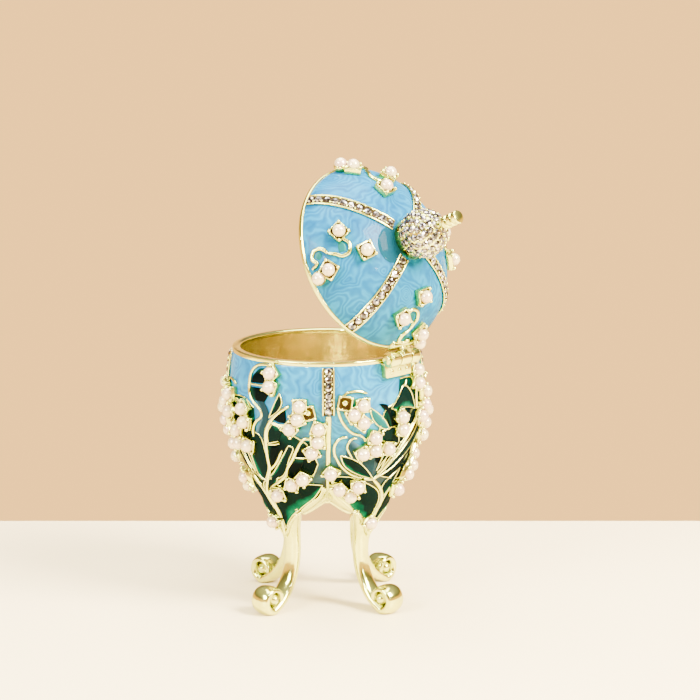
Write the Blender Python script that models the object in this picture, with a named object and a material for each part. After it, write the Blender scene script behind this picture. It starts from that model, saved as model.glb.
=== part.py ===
"""A jewelled egg trinket box: an enamelled metal egg on four scroll legs, with a hinged lid.

Sizes are in millimetres and angles in degrees; MM turns a size into metres. Heights are
measured from the surface that the feet stand on, and on the lid from the plane of its rim.
An azimuth is measured round the egg's axis, from the hinge (+Y) towards +X. The lid is
modelled closed, on an empty that lies on the hinge's axis and stands turned open.
"""
import math

import bmesh
import bpy
from mathutils import Matrix, Vector

MM = 0.001

# The lid stands open behind the egg, so the egg's axis is this far from the middle of the footprint.
AXIS_Y = -7.3

# Bowl
RIM_R = 20.0
RIM_Z = 57.0
BELLY_SWELL = 0.95
BELLY_R = RIM_R + BELLY_SWELL
BELLY_Z = 46.5
PETAL_END_R = 5.75
PETAL_END_Z = 21.4
FLOOR_RISE = 5.2
FLOOR_THICK = 1.6
CAVITY_FLOOR_Z = PETAL_END_Z + FLOOR_RISE
CAVITY_ROUND = 1.2
UNDER_TOP_Z = CAVITY_FLOOR_Z - FLOOR_THICK
UNDER_R = 11.7
UNDER_ROUND = 0.8
WALL = 1.4
MOULDING_H = 1.0
MOULDING_STAND = 0.25
MOULDING_EDGE = 0.15
RIM_GAP = 0.3
LOBE_SWELL = 7.3
LOBE_POWER = 3.0
CAVITY_LOBE = 0.6

# Legs
LEG_COUNT = 4
LEG_TOP_RISE = 4.4
LEG_TOP_Z = PETAL_END_Z + LEG_TOP_RISE
LEG_TOP_DEPTH = 2.2
KNEE_DEPTH = 0.55
KNEE_RISE = 0.2
KNEE_Z = PETAL_END_Z + KNEE_RISE
SHIN_R = 10.5
SHIN_Z = 11.6
SCROLL_R = 18.2
SCROLL_SIZE = 3.4
SCROLL_START = -98.0
SCROLL_TURN = 285.0
SCROLL_STEPS = 10
SCROLL_THICK = 1.05
SCROLL_THIN = 0.6
SCROLL_TIGHTEN = 0.55
SCROLL_HALF_W = 2.5
FOOT_FLAT = 0.3

# Sections across a leg: distance out from the knee or the shin, height from it, half width
# and half thickness. The first section, at the leg's top, is given by its own sizes.
LEG_TOP_HALF_W = 4.4
LEG_TOP_HALF_T = 0.8
KNEE_SECTIONS = (
    (1.5, 2.2, 4.9, 1.3),
    (0.0, 0.0, 4.2, 1.6),
)
THIGH_OUT = 0.9
THIGH_DROP = 3.2
THIGH_HALF_W = 2.8
THIGH_HALF_T = 1.55
SHIN_SECTIONS = (
    (0.1, 3.6, 2.0, 1.4),
    (0.0, 0.0, 1.85, 1.35),
    (0.6, -3.3, 1.85, 1.3),
    (2.1, -6.4, 2.0, 1.2),
    (4.3, -8.9, 2.3, 1.1),
)

# Lid
DOME_H = 13.0
DOME_POWER = 1.75
OPEN_ANGLE = 65.3

# Hinge
HINGE_STAND = 2.3
HINGE_Y = RIM_R + HINGE_STAND
BARREL_R = 1.7
BARREL_L = 8.4
KNUCKLE_L = 3.0
PIN_R = 0.6
PIN_HEAD_R = 1.0
PIN_HEAD_L = 0.5
FIT = 0.3
LEAF_DROP = 4.2
LEAF_L = 3.1
LEAF_Z = RIM_Z - LEAF_DROP
LEAF_TOP = LEAF_Z + LEAF_L
LEAF_SINK = 0.5
LEAF_Y = RIM_R - LEAF_SINK
LEAF_THICK = 2.2
LEAF_INSET = 0.25
BRACKET_L = 2.6
BRACKET_LOW = 0.6
BRACKET_TOP = 2.2

# Crown
CROWN_R = 5.3
CROWN_RISE = 3.8
CROWN_H = DOME_H + CROWN_RISE
COLLAR_INSET = 0.7
COLLAR_R = CROWN_R - COLLAR_INSET
NECK_R = 0.7
NECK_L = 1.1
KNOB_R = 1.45
KNOB_L = 4.7
KNOB_START = CROWN_H + CROWN_R + NECK_L
KNOB_END = KNOB_START + KNOB_L
KNOB_RIDGES = 3
KNOB_GROOVE = 0.7
RIDGE_FLAT = (0.3, 0.7)

# Stones and pearls
STONE_ROW_W = 1.9
STONE_ROW_T = 0.8
STONE_ROW_CROWN = 0.75
BODY_ROW_DROP = 1.6
BODY_ROW_L = 9.8
BODY_ROW_TOP = RIM_Z - BODY_ROW_DROP
BODY_ROW_END = BODY_ROW_TOP - BODY_ROW_L
LID_ROW_START = 1.6
LID_ROW_GAP = 0.6
LID_ROW_END_R = CROWN_R + LID_ROW_GAP
PEARL_R = 1.5
PEARL_SHARE = 0.1
PEARL_PITCH = 2 * PEARL_R - PEARL_SHARE
PEARL_FLAT = 1.3
PEARL_STAND = PEARL_FLAT + FIT
PEARL_FACET_GROWTH = 1.16

# Mesh fineness. The hollow under the floor has other steps than the bowl, so that no edge of
# one runs along an edge of the other.
ROUND_STEPS = 40
UNDER_STEPS = 36
DOME_STEPS = 6
BOWL_STEPS = 10
CAVITY_STEPS = 4
DOME_LAST_TURN = 84.0
BODY_ROW_STEPS = 4
LID_ROW_STEPS = 7
CROWN_SIDES = 14
PEARL_SIDES = 6
PEARL_RINGS = 4

# A spray's chains of touching pearls: start offset from the leg's azimuth, where the first
# pearl stands as a share of the way, and the heading from each pearl to the next, 0 along the
# egg and 90 straight up. The way is from the petals' end to the rim on the bowl, and from the
# rim to the top on the lid.
BODY_CHAINS = (
    (-17.5, 0.888, (-90,)),
    (-29.0, 0.736, (-80, -50)),
    (-39.5, 0.604, (-85, -60)),
    (-1.0, 0.635, (-100,)),
    (25.5, 0.736, (-40, -140)),
    (17.5, 0.534, (-95, -10)),
    (-28.0, 0.287, (-30,)),
    (24.0, 0.230, (-60,)),
)
# Two chains start elsewhere on the sprays at the egg's sides, where no hinge is in their way.
SIDE_STARTS = {0: (-10.7, 0.915), 3: (10.0, 0.677)}
LID_CHAINS = (
    (-8.5, 0.212, (67,)),
    (-2.0, 0.785, ()),
    (18.0, 0.585, ()),
)


def radial(azimuth, radius, height):
    """A point in the egg's own frame, in millimetres."""
    turn = math.radians(azimuth)
    return Vector((radius * math.sin(turn), radius * math.cos(turn), height))


def evenly(start, end, steps):
    return [start + (end - start) * k / steps for k in range(steps + 1)]


def valley_radius(z):
    """Outer radius of the bowl between two legs: an ellipse from the belly down to the petals'
    end, and a taller one from the belly up to the rim."""
    end_r, end_z = (PETAL_END_R, PETAL_END_Z) if z < BELLY_Z else (RIM_R, RIM_Z)
    way = (z - BELLY_Z) / (end_z - BELLY_Z)
    return math.sqrt(BELLY_R ** 2 - (BELLY_R ** 2 - end_r ** 2) * way ** 2)


def lobe_swell(azimuth, z):
    """How far the bowl swells over a leg, most at its bottom, with a crease between two legs."""
    fall = max(0.0, (BELLY_Z - z) / (BELLY_Z - PETAL_END_Z))
    over_leg = abs(math.cos(math.radians(LEG_COUNT * azimuth / 2)))
    return LOBE_SWELL * fall ** LOBE_POWER * over_leg


def bowl_radius(azimuth, z):
    return valley_radius(z) + lobe_swell(azimuth, z)


def cavity_radius(azimuth, z):
    return valley_radius(z) + CAVITY_LOBE * lobe_swell(azimuth, z) - WALL


def bowl_point(azimuth, z):
    return radial(azimuth, bowl_radius(azimuth, z), z)


def dome_point(azimuth, h):
    return radial(azimuth, RIM_R * math.cos(dome_rise(h)), RIM_Z + h)


def dome_rise(h, inset=0.0):
    """The turn, from the rim to the top, at which the dome reaches a height."""
    return math.asin((h / (DOME_H - inset)) ** (DOME_POWER / 2))


def dome_height(turn, inset=0.0):
    return (DOME_H - inset) * math.sin(turn) ** (2 / DOME_POWER)


def normal_at(surface, azimuth, height):
    """Outward normal of a surface that is given as a function of azimuth and height."""
    step = 0.05
    across = surface(azimuth + step, height) - surface(azimuth - step, height)
    up = surface(azimuth, height + step) - surface(azimuth, height - step)
    return up.cross(across).normalized()


def stand_off(surface, azimuth, height, distance):
    return surface(azimuth, height) + normal_at(surface, azimuth, height) * distance


def new_material(name, colour, metallic, roughness, transmission=0.0):
    material = bpy.data.materials.new(name)
    material.use_nodes = True
    shader = material.node_tree.nodes["Principled BSDF"]
    shader.inputs["Base Color"].default_value = (*colour, 1.0)
    shader.inputs["Metallic"].default_value = metallic
    shader.inputs["Roughness"].default_value = roughness
    shader.inputs["Transmission Weight"].default_value = transmission
    return material


def new_object(name, bm, material, parent):
    """Turns a bmesh in millimetres into a named object on its parent."""
    bmesh.ops.recalc_face_normals(bm, faces=bm.faces)
    bmesh.ops.scale(bm, vec=(MM, MM, MM), verts=bm.verts)
    mesh = bpy.data.meshes.new(name)
    bm.to_mesh(mesh)
    bm.free()
    mesh.materials.append(material)
    mesh.shade_smooth()
    mesh.set_sharp_from_angle(angle=math.radians(40.0))
    obj = bpy.data.objects.new(name, mesh)
    bpy.context.scene.collection.objects.link(obj)
    obj.parent = parent
    return obj


def new_empty(name, location, parent=None):
    empty = bpy.data.objects.new(name, None)
    empty.location = Vector(location) * MM
    empty.parent = parent
    bpy.context.scene.collection.objects.link(empty)
    return empty


def add_loft(bm, rings):
    """Joins rings of points, all of one length, into a closed tube with flat ends."""
    rows = [[bm.verts.new(point) for point in ring] for ring in rings]
    count = len(rows[0])
    for row, following in zip(rows, rows[1:]):
        for i in range(count):
            j = (i + 1) % count
            bm.faces.new((row[i], row[j], following[j], following[i]))
    bm.faces.new(rows[0])
    bm.faces.new(rows[-1])


def add_turned(bm, profile, steps):
    """Turns a profile of (radius, height) pairs round the egg's axis, ends on the axis."""
    turns = [360.0 * k / steps for k in range(steps)]
    bottom = bm.verts.new((0.0, 0.0, profile[0][1]))
    top = bm.verts.new((0.0, 0.0, profile[-1][1]))
    rows = [[bm.verts.new(radial(turn, r, z)) for turn in turns] for r, z in profile[1:-1]]
    for i in range(steps):
        j = (i + 1) % steps
        bm.faces.new((bottom, rows[0][i], rows[0][j]))
        bm.faces.new((top, rows[-1][i], rows[-1][j]))
        for row, following in zip(rows, rows[1:]):
            bm.faces.new((row[i], row[j], following[j], following[i]))


def add_box(bm, low, high):
    low, high = Vector(low), Vector(high)
    size = high - low
    place = Matrix.Translation((low + high) / 2) @ Matrix.Diagonal((*size, 1.0))
    bmesh.ops.create_cube(bm, size=1.0, matrix=place)


def add_rod(bm, radius, x_start, x_end, steps=16):
    """A round bar along the hinge's axis."""
    place = Matrix.Translation(((x_start + x_end) / 2, HINGE_Y, RIM_Z)) @ Matrix.Rotation(math.pi / 2, 4, "Y")
    bmesh.ops.create_cone(bm, cap_ends=True, segments=steps, radius1=radius, radius2=radius,
                          depth=x_end - x_start, matrix=place)


def combine(target, bm, operation, label, hinge_origin=None):
    """Adds or cuts a helper shape with a Boolean that stays on the object."""
    helper = new_object(f"{target.name}_{label}", bm, target.data.materials[0], target.parent)
    if hinge_origin is not None:
        helper.data.transform(Matrix.Translation(-hinge_origin * MM))
    helper.hide_render = True
    helper.display_type = "WIRE"
    boolean = target.modifiers.new(label, "BOOLEAN")
    boolean.operation = operation
    boolean.solver = "EXACT"
    boolean.object = helper


def leg_stations():
    """Centre line of a leg as (radius, height, half width, half thickness), top to scroll's end."""
    top_r = bowl_radius(0.0, LEG_TOP_Z) - LEG_TOP_DEPTH
    knee_r = bowl_radius(0.0, PETAL_END_Z) - KNEE_DEPTH
    stations = [(top_r, LEG_TOP_Z, LEG_TOP_HALF_W, LEG_TOP_HALF_T)]
    stations += [(knee_r + out, KNEE_Z + up, half_w, half_t) for out, up, half_w, half_t in KNEE_SECTIONS]
    stations.append((SHIN_R + THIGH_OUT, KNEE_Z - THIGH_DROP, THIGH_HALF_W, THIGH_HALF_T))
    stations += [(SHIN_R + out, SHIN_Z + up, half_w, half_t) for out, up, half_w, half_t in SHIN_SECTIONS]
    for k in range(SCROLL_STEPS + 1):
        share = k / SCROLL_STEPS
        turn = math.radians(SCROLL_START + SCROLL_TURN * share)
        thickness = SCROLL_THICK + (SCROLL_THIN - SCROLL_THICK) * share
        reach = SCROLL_SIZE - SCROLL_TIGHTEN * share - thickness
        stations.append((SCROLL_R + reach * math.cos(turn), SCROLL_SIZE - FOOT_FLAT + reach * math.sin(turn),
                         SCROLL_HALF_W, thickness))
    return stations


def leg_rings(azimuth):
    """Eight-sided sections across the leg's centre line, flattened where the foot stands."""
    stations = leg_stations()
    across = radial(azimuth + 90.0, 1.0, 0.0)
    rings = []
    for k, (r, z, half_width, half_thickness) in enumerate(stations):
        before = stations[max(k - 1, 0)]
        after = stations[min(k + 1, len(stations) - 1)]
        run = Vector((after[0] - before[0], after[1] - before[1])).normalized()
        ring = []
        for side, depth in ((1, 0.45), (0.62, 1), (-0.62, 1), (-1, 0.45),
                            (-1, -0.45), (-0.62, -1), (0.62, -1), (1, -0.45)):
            off = half_thickness * depth
            point = radial(azimuth, r - run.y * off, z + run.x * off) + across * half_width * side
            point.z = max(point.z, 0.0)
            ring.append(point)
        rings.append(ring)
    return rings


def bowl_rings():
    """Rings from the petals' end up the outside, over the rim and down the cavity."""
    turns = [360.0 * k / ROUND_STEPS for k in range(ROUND_STEPS)]
    top = RIM_Z - RIM_GAP / 2
    moulding_z = top - MOULDING_H
    rings = [[bowl_point(a, PETAL_END_Z) for a in turns]]
    for k in range(1, BOWL_STEPS + 1):
        z = PETAL_END_Z + (moulding_z - PETAL_END_Z) * (k / BOWL_STEPS) ** 1.15
        rings.append([bowl_point(a, z) for a in turns])
    for z in (moulding_z + MOULDING_EDGE, top - MOULDING_EDGE):
        rings.append([radial(a, RIM_R + MOULDING_STAND, z) for a in turns])
    rings.append([radial(a, RIM_R, top) for a in turns])
    floor_edge = CAVITY_FLOOR_Z + CAVITY_ROUND
    for z in evenly(top, floor_edge, CAVITY_STEPS):
        rings.append([radial(a, cavity_radius(a, z), z) for a in turns])
    rings.append([radial(a, cavity_radius(a, floor_edge) - CAVITY_ROUND, CAVITY_FLOOR_Z) for a in turns])
    return rings


def dome_rings():
    """Rings from the top of the lid down the outside to its rim, then up the inside."""
    turns = [360.0 * k / ROUND_STEPS for k in range(ROUND_STEPS)]
    foot = RIM_GAP / 2
    top = math.radians(DOME_LAST_TURN)
    outer = evenly(top, dome_rise(foot + MOULDING_H), DOME_STEPS)
    inner = evenly(dome_rise(foot, WALL), top, CAVITY_STEPS)
    profile = [(RIM_R * math.cos(t), dome_height(t)) for t in outer]
    profile += [(RIM_R + MOULDING_STAND, foot + MOULDING_H - MOULDING_EDGE),
                (RIM_R + MOULDING_STAND, foot + MOULDING_EDGE), (RIM_R, foot)]
    profile += [((RIM_R - WALL) * math.cos(t), dome_height(t, WALL)) for t in inner]
    return [[radial(a, r, RIM_Z + h) for a in turns] for r, h in profile]


def build_body(material, parent):
    """The cast bowl with its four legs, the hinge's leaf and its two outer knuckles."""
    bm = bmesh.new()
    add_loft(bm, bowl_rings())
    body = new_object("body", bm, material, parent)

    hollow = bmesh.new()
    add_turned(hollow, [(0.0, 0.0), (UNDER_R, 0.0), (UNDER_R, UNDER_TOP_Z - UNDER_ROUND),
                        (UNDER_R - UNDER_ROUND, UNDER_TOP_Z), (0.0, UNDER_TOP_Z)], UNDER_STEPS)
    combine(body, hollow, "DIFFERENCE", "hollow_under_floor")

    legs = bmesh.new()
    for k in range(LEG_COUNT):
        add_loft(legs, leg_rings(360.0 * k / LEG_COUNT))
    combine(body, legs, "UNION", "legs")

    leaf = bmesh.new()
    half = BARREL_L / 2 - LEAF_INSET
    add_box(leaf, (-half, LEAF_Y, LEAF_Z), (half, LEAF_Y + LEAF_THICK, LEAF_TOP))
    combine(body, leaf, "UNION", "hinge_leaf")

    barrel = bmesh.new()
    add_rod(barrel, BARREL_R, -BARREL_L / 2, BARREL_L / 2)
    combine(body, barrel, "UNION", "barrel")

    room = bmesh.new()
    inner_end = KNUCKLE_L / 2 + FIT
    add_rod(room, BARREL_R + FIT, -inner_end, inner_end)
    combine(body, room, "DIFFERENCE", "room_for_lid_knuckle")

    bore = bmesh.new()
    add_rod(bore, PIN_R + FIT, -BARREL_L, BARREL_L, 12)
    combine(body, bore, "DIFFERENCE", "pin_bore")
    return body


def build_lid(material, parent):
    """The cast dome with the hinge's middle knuckle, modelled round the hinge's axis."""
    origin = Vector((0.0, HINGE_Y, RIM_Z))
    bm = bmesh.new()
    add_loft(bm, dome_rings())
    lid = new_object("lid", bm, material, parent)
    lid.data.transform(Matrix.Translation(-origin * MM))

    knuckle = bmesh.new()
    half = KNUCKLE_L / 2
    add_rod(knuckle, BARREL_R, -half, half)
    combine(lid, knuckle, "UNION", "knuckle", origin)

    bracket = bmesh.new()
    half = BRACKET_L / 2
    add_box(bracket, (-half, LEAF_Y, RIM_Z + BRACKET_LOW), (half, HINGE_Y, RIM_Z + BRACKET_TOP))
    combine(lid, bracket, "UNION", "bracket", origin)

    bore = bmesh.new()
    add_rod(bore, PIN_R + FIT, -BARREL_L, BARREL_L, 12)
    combine(lid, bore, "DIFFERENCE", "pin_bore", origin)
    return lid


def build_pin(material, parent):
    """The hinge's pin with a flat head at each end."""
    bm = bmesh.new()
    end = BARREL_L / 2 + FIT
    add_rod(bm, PIN_R, -end - PIN_HEAD_L / 2, end + PIN_HEAD_L / 2, 12)
    pin = new_object("hinge_pin", bm, material, parent)
    heads = bmesh.new()
    add_rod(heads, PIN_HEAD_R, end, end + PIN_HEAD_L, 12)
    add_rod(heads, PIN_HEAD_R, -end - PIN_HEAD_L, -end, 12)
    combine(pin, heads, "UNION", "heads")
    return pin


def build_crown(material, parent):
    """The ball of stones on the lid with its ridged knob, turned in one piece."""
    origin = Vector((0.0, HINGE_Y, RIM_Z))

    def under(r):
        return dome_height(math.acos(r / RIM_R)) + FIT

    low = math.degrees(math.acos(COLLAR_R / CROWN_R))
    high = 90.0 - math.degrees(math.asin(NECK_R / CROWN_R))
    profile = [(0.0, under(0.0)), (COLLAR_R / 2, under(COLLAR_R / 2)), (COLLAR_R, under(COLLAR_R))]
    for k in range(7):
        turn = math.radians(-low + (high + low) * k / 6)
        profile.append((CROWN_R * math.cos(turn), CROWN_H + CROWN_R * math.sin(turn)))
    profile.append((NECK_R, KNOB_START))
    ridge = (KNOB_END - KNOB_START) / KNOB_RIDGES
    for k in range(KNOB_RIDGES):
        profile += [(KNOB_R, KNOB_START + ridge * (k + share)) for share in RIDGE_FLAT]
        if k < KNOB_RIDGES - 1:
            profile.append((KNOB_R * KNOB_GROOVE, KNOB_START + ridge * (k + 1)))
    profile.append((0.0, KNOB_END))
    bm = bmesh.new()
    add_turned(bm, [(r, RIM_Z + h) for r, h in profile], CROWN_SIDES)
    crown = new_object("crown", bm, material, parent)
    crown.data.transform(Matrix.Translation(-origin * MM))
    return crown


def build_stone_row(name, surface, azimuth, heights, material, parent, origin=None):
    """A row of touching stones as one curved bar that stands just off its surface."""
    rings = []
    for height in heights:
        normal = normal_at(surface, azimuth, height)
        foot = surface(azimuth, height) + normal * FIT
        across = radial(azimuth + 90.0, STONE_ROW_W / 2, 0.0)
        top = foot + normal * STONE_ROW_T
        narrow = across * STONE_ROW_CROWN
        rings.append([foot - across, foot + across, top + narrow, top - narrow])
    bm = bmesh.new()
    add_loft(bm, rings)
    row = new_object(name, bm, material, parent)
    if origin is not None:
        row.data.transform(Matrix.Translation(-origin * MM))
    return row


def walk_chain(surface, chain, base, bottom, top):
    """Sites of touching pearls as (azimuth, height), one pitch apart from centre to centre."""
    offset, share, headings = chain
    azimuth = base + offset
    height = bottom + (top - bottom) * share
    sites = [(azimuth, height)]
    for heading in headings:
        turn = math.radians(heading)
        centre = stand_off(surface, azimuth, height, PEARL_STAND)
        step = PEARL_PITCH
        for _ in range(6):
            reach = Vector((centre.x, centre.y)).length
            next_azimuth = azimuth + math.degrees(step * math.cos(turn) / reach)
            next_height = height + step * math.sin(turn)
            other = stand_off(surface, next_azimuth, next_height, PEARL_STAND)
            step *= PEARL_PITCH / (other - centre).length
        azimuth, height = next_azimuth, next_height
        sites.append((azimuth, height))
    return sites


def spray_chains(on_side):
    """The chains of one spray."""
    return [(*SIDE_STARTS[k], chain[2]) if on_side and k in SIDE_STARTS else chain
            for k, chain in enumerate(BODY_CHAINS)]


def pearl_bmesh(surface, azimuth, height):
    """A round pearl with a flat underside, set along the surface's normal."""
    normal = normal_at(surface, azimuth, height)
    centre = surface(azimuth, height) + normal * PEARL_STAND
    place = Matrix.Translation(centre) @ normal.to_track_quat("Z", "Y").to_matrix().to_4x4()
    bm = bmesh.new()
    bmesh.ops.create_uvsphere(bm, u_segments=PEARL_SIDES, v_segments=PEARL_RINGS,
                              radius=PEARL_R * PEARL_FACET_GROWTH)
    for vert in bm.verts:
        vert.co.z = max(-PEARL_FLAT, min(PEARL_R, vert.co.z))
    bmesh.ops.transform(bm, matrix=place, verts=bm.verts)
    return bm


def build_pearls(name, surface, sites, material, parent, origin=None):
    """One chain of touching pearls, fused."""
    first = new_object(name, pearl_bmesh(surface, *sites[0]), material, parent)
    if origin is not None:
        first.data.transform(Matrix.Translation(-origin * MM))
    for k, site in enumerate(sites[1:], 2):
        combine(first, pearl_bmesh(surface, *site), "UNION", f"pearl_{k}", origin)
    return first


def main():
    for obj in list(bpy.data.objects):
        bpy.data.objects.remove(obj, do_unlink=True)

    enamel = new_material("sky blue enamel", (0.13, 0.50, 0.78), 0.0, 0.12)
    gold = new_material("pale gold", (0.90, 0.78, 0.42), 1.0, 0.18)
    pearl = new_material("cream pearl", (0.92, 0.86, 0.78), 0.0, 0.22)
    glass = new_material("clear stone", (0.95, 0.96, 1.0), 0.0, 0.03, 0.8)

    egg = new_empty("egg_axis", (0.0, AXIS_Y, 0.0))
    hinge = new_empty("hinge_axis", (0.0, HINGE_Y, RIM_Z), egg)
    hinge.rotation_euler.x = -math.radians(OPEN_ANGLE)
    hinge_origin = Vector((0.0, HINGE_Y, RIM_Z))

    build_body(enamel, egg)
    build_lid(enamel, hinge)
    build_pin(gold, egg)
    build_crown(gold, hinge)

    lid_turns = evenly(dome_rise(LID_ROW_START), math.acos(LID_ROW_END_R / RIM_R), LID_ROW_STEPS)
    lid_heights = [dome_height(turn) for turn in lid_turns]
    for k in range(LEG_COUNT):
        leg = 360.0 * k / LEG_COUNT
        valley = leg + 180.0 / LEG_COUNT
        number = k + 1
        build_stone_row(f"body_stone_row_{number}", bowl_point, valley,
                        evenly(BODY_ROW_TOP, BODY_ROW_END, BODY_ROW_STEPS), glass, egg)
        build_stone_row(f"lid_stone_row_{number}", dome_point, valley,
                        lid_heights, glass, hinge, hinge_origin)
        for j, chain in enumerate(spray_chains(k % 2 == 1), 1):
            sites = walk_chain(bowl_point, chain, leg, PETAL_END_Z, RIM_Z)
            build_pearls(f"body_pearls_{number}_{j}", bowl_point, sites, pearl, egg)
        for j, chain in enumerate(LID_CHAINS, 1):
            sites = walk_chain(dome_point, chain, leg, 0.0, DOME_H)
            build_pearls(f"lid_pearls_{number}_{j}", dome_point, sites, pearl, hinge, hinge_origin)


main()
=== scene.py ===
"""Fine surface, materials, stage and camera of a jewelled egg trinket box.

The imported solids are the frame. Lengths in the panel are in metres, and everything that the
tables below give is in millimetres and degrees. An azimuth is measured round the egg's axis,
from the hinge (+Y) towards +X, and an offset is an azimuth measured from a leg. The lid's
pieces are made closed and are then turned open about the hinge with the rest of the lid.
"""
import math
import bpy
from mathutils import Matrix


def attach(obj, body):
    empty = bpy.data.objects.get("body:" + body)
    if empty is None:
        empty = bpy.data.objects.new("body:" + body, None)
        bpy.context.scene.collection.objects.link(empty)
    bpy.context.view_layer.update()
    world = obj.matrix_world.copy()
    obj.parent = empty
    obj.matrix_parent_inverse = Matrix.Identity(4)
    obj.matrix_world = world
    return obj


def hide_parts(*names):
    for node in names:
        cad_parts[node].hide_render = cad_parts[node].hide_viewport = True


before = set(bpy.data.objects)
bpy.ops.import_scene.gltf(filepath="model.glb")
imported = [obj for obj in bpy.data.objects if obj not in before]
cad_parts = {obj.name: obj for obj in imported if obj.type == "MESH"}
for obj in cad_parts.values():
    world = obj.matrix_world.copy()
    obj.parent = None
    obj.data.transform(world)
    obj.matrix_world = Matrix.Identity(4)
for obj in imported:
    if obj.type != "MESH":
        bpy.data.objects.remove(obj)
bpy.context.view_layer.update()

from types import SimpleNamespace

import bmesh
import bpy
from bpy.props import FloatProperty, FloatVectorProperty, IntProperty, PointerProperty
from mathutils import Matrix, Vector
from mathutils.bvhtree import BVHTree

bl_info = {
    "name": "Jewelled egg box",
    "version": (1, 0, 0),
    "blender": (4, 5, 0),
    "location": "3D View > Sidebar > Egg box",
    "description": "Builds the fine surface of an enamelled egg box on its solids",
    "category": "Object",
}

MM = 0.001

# A spray's chains of touching pearls, as the solids have them: start offset, share of the way
# up the bowl or the lid, and the heading from each pearl to the next.
BODY_CHAINS = (
    (-17.5, 0.888, (-90,)),
    (-29, 0.736, (-80, -50)),
    (-39.5, 0.604, (-85, -60)),
    (-1, 0.635, (-100,)),
    (25.5, 0.736, (-40, -140)),
    (17.5, 0.534, (-95, -10)),
    (-28, 0.287, (-30,)),
    (24, 0.230, (-60,)),
)
# Two chains start elsewhere on the sprays at the egg's sides, where no hinge is in their way.
SIDE_STARTS = {0: (-10.7, 0.915), 3: (10, 0.677)}
LID_CHAINS = (
    (-8.5, 0.212, (67,)),
    (-2, 0.785, ()),
    (18, 0.585, ()),
)

# How far an arch between two legs reaches to each side, in degrees.
ARCH_HALF = 26.0

# Single pearls between the chains, and cups that were left empty, as (offset, height).
LOOSE_PEARLS = ((43, 33), (7.6, 37.6), (-9.5, 27.4), (36, 29.2), (6, 20.2))
EMPTY_CUPS = ((35.8, 48.3), (-33.6, 46.2))

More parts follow.
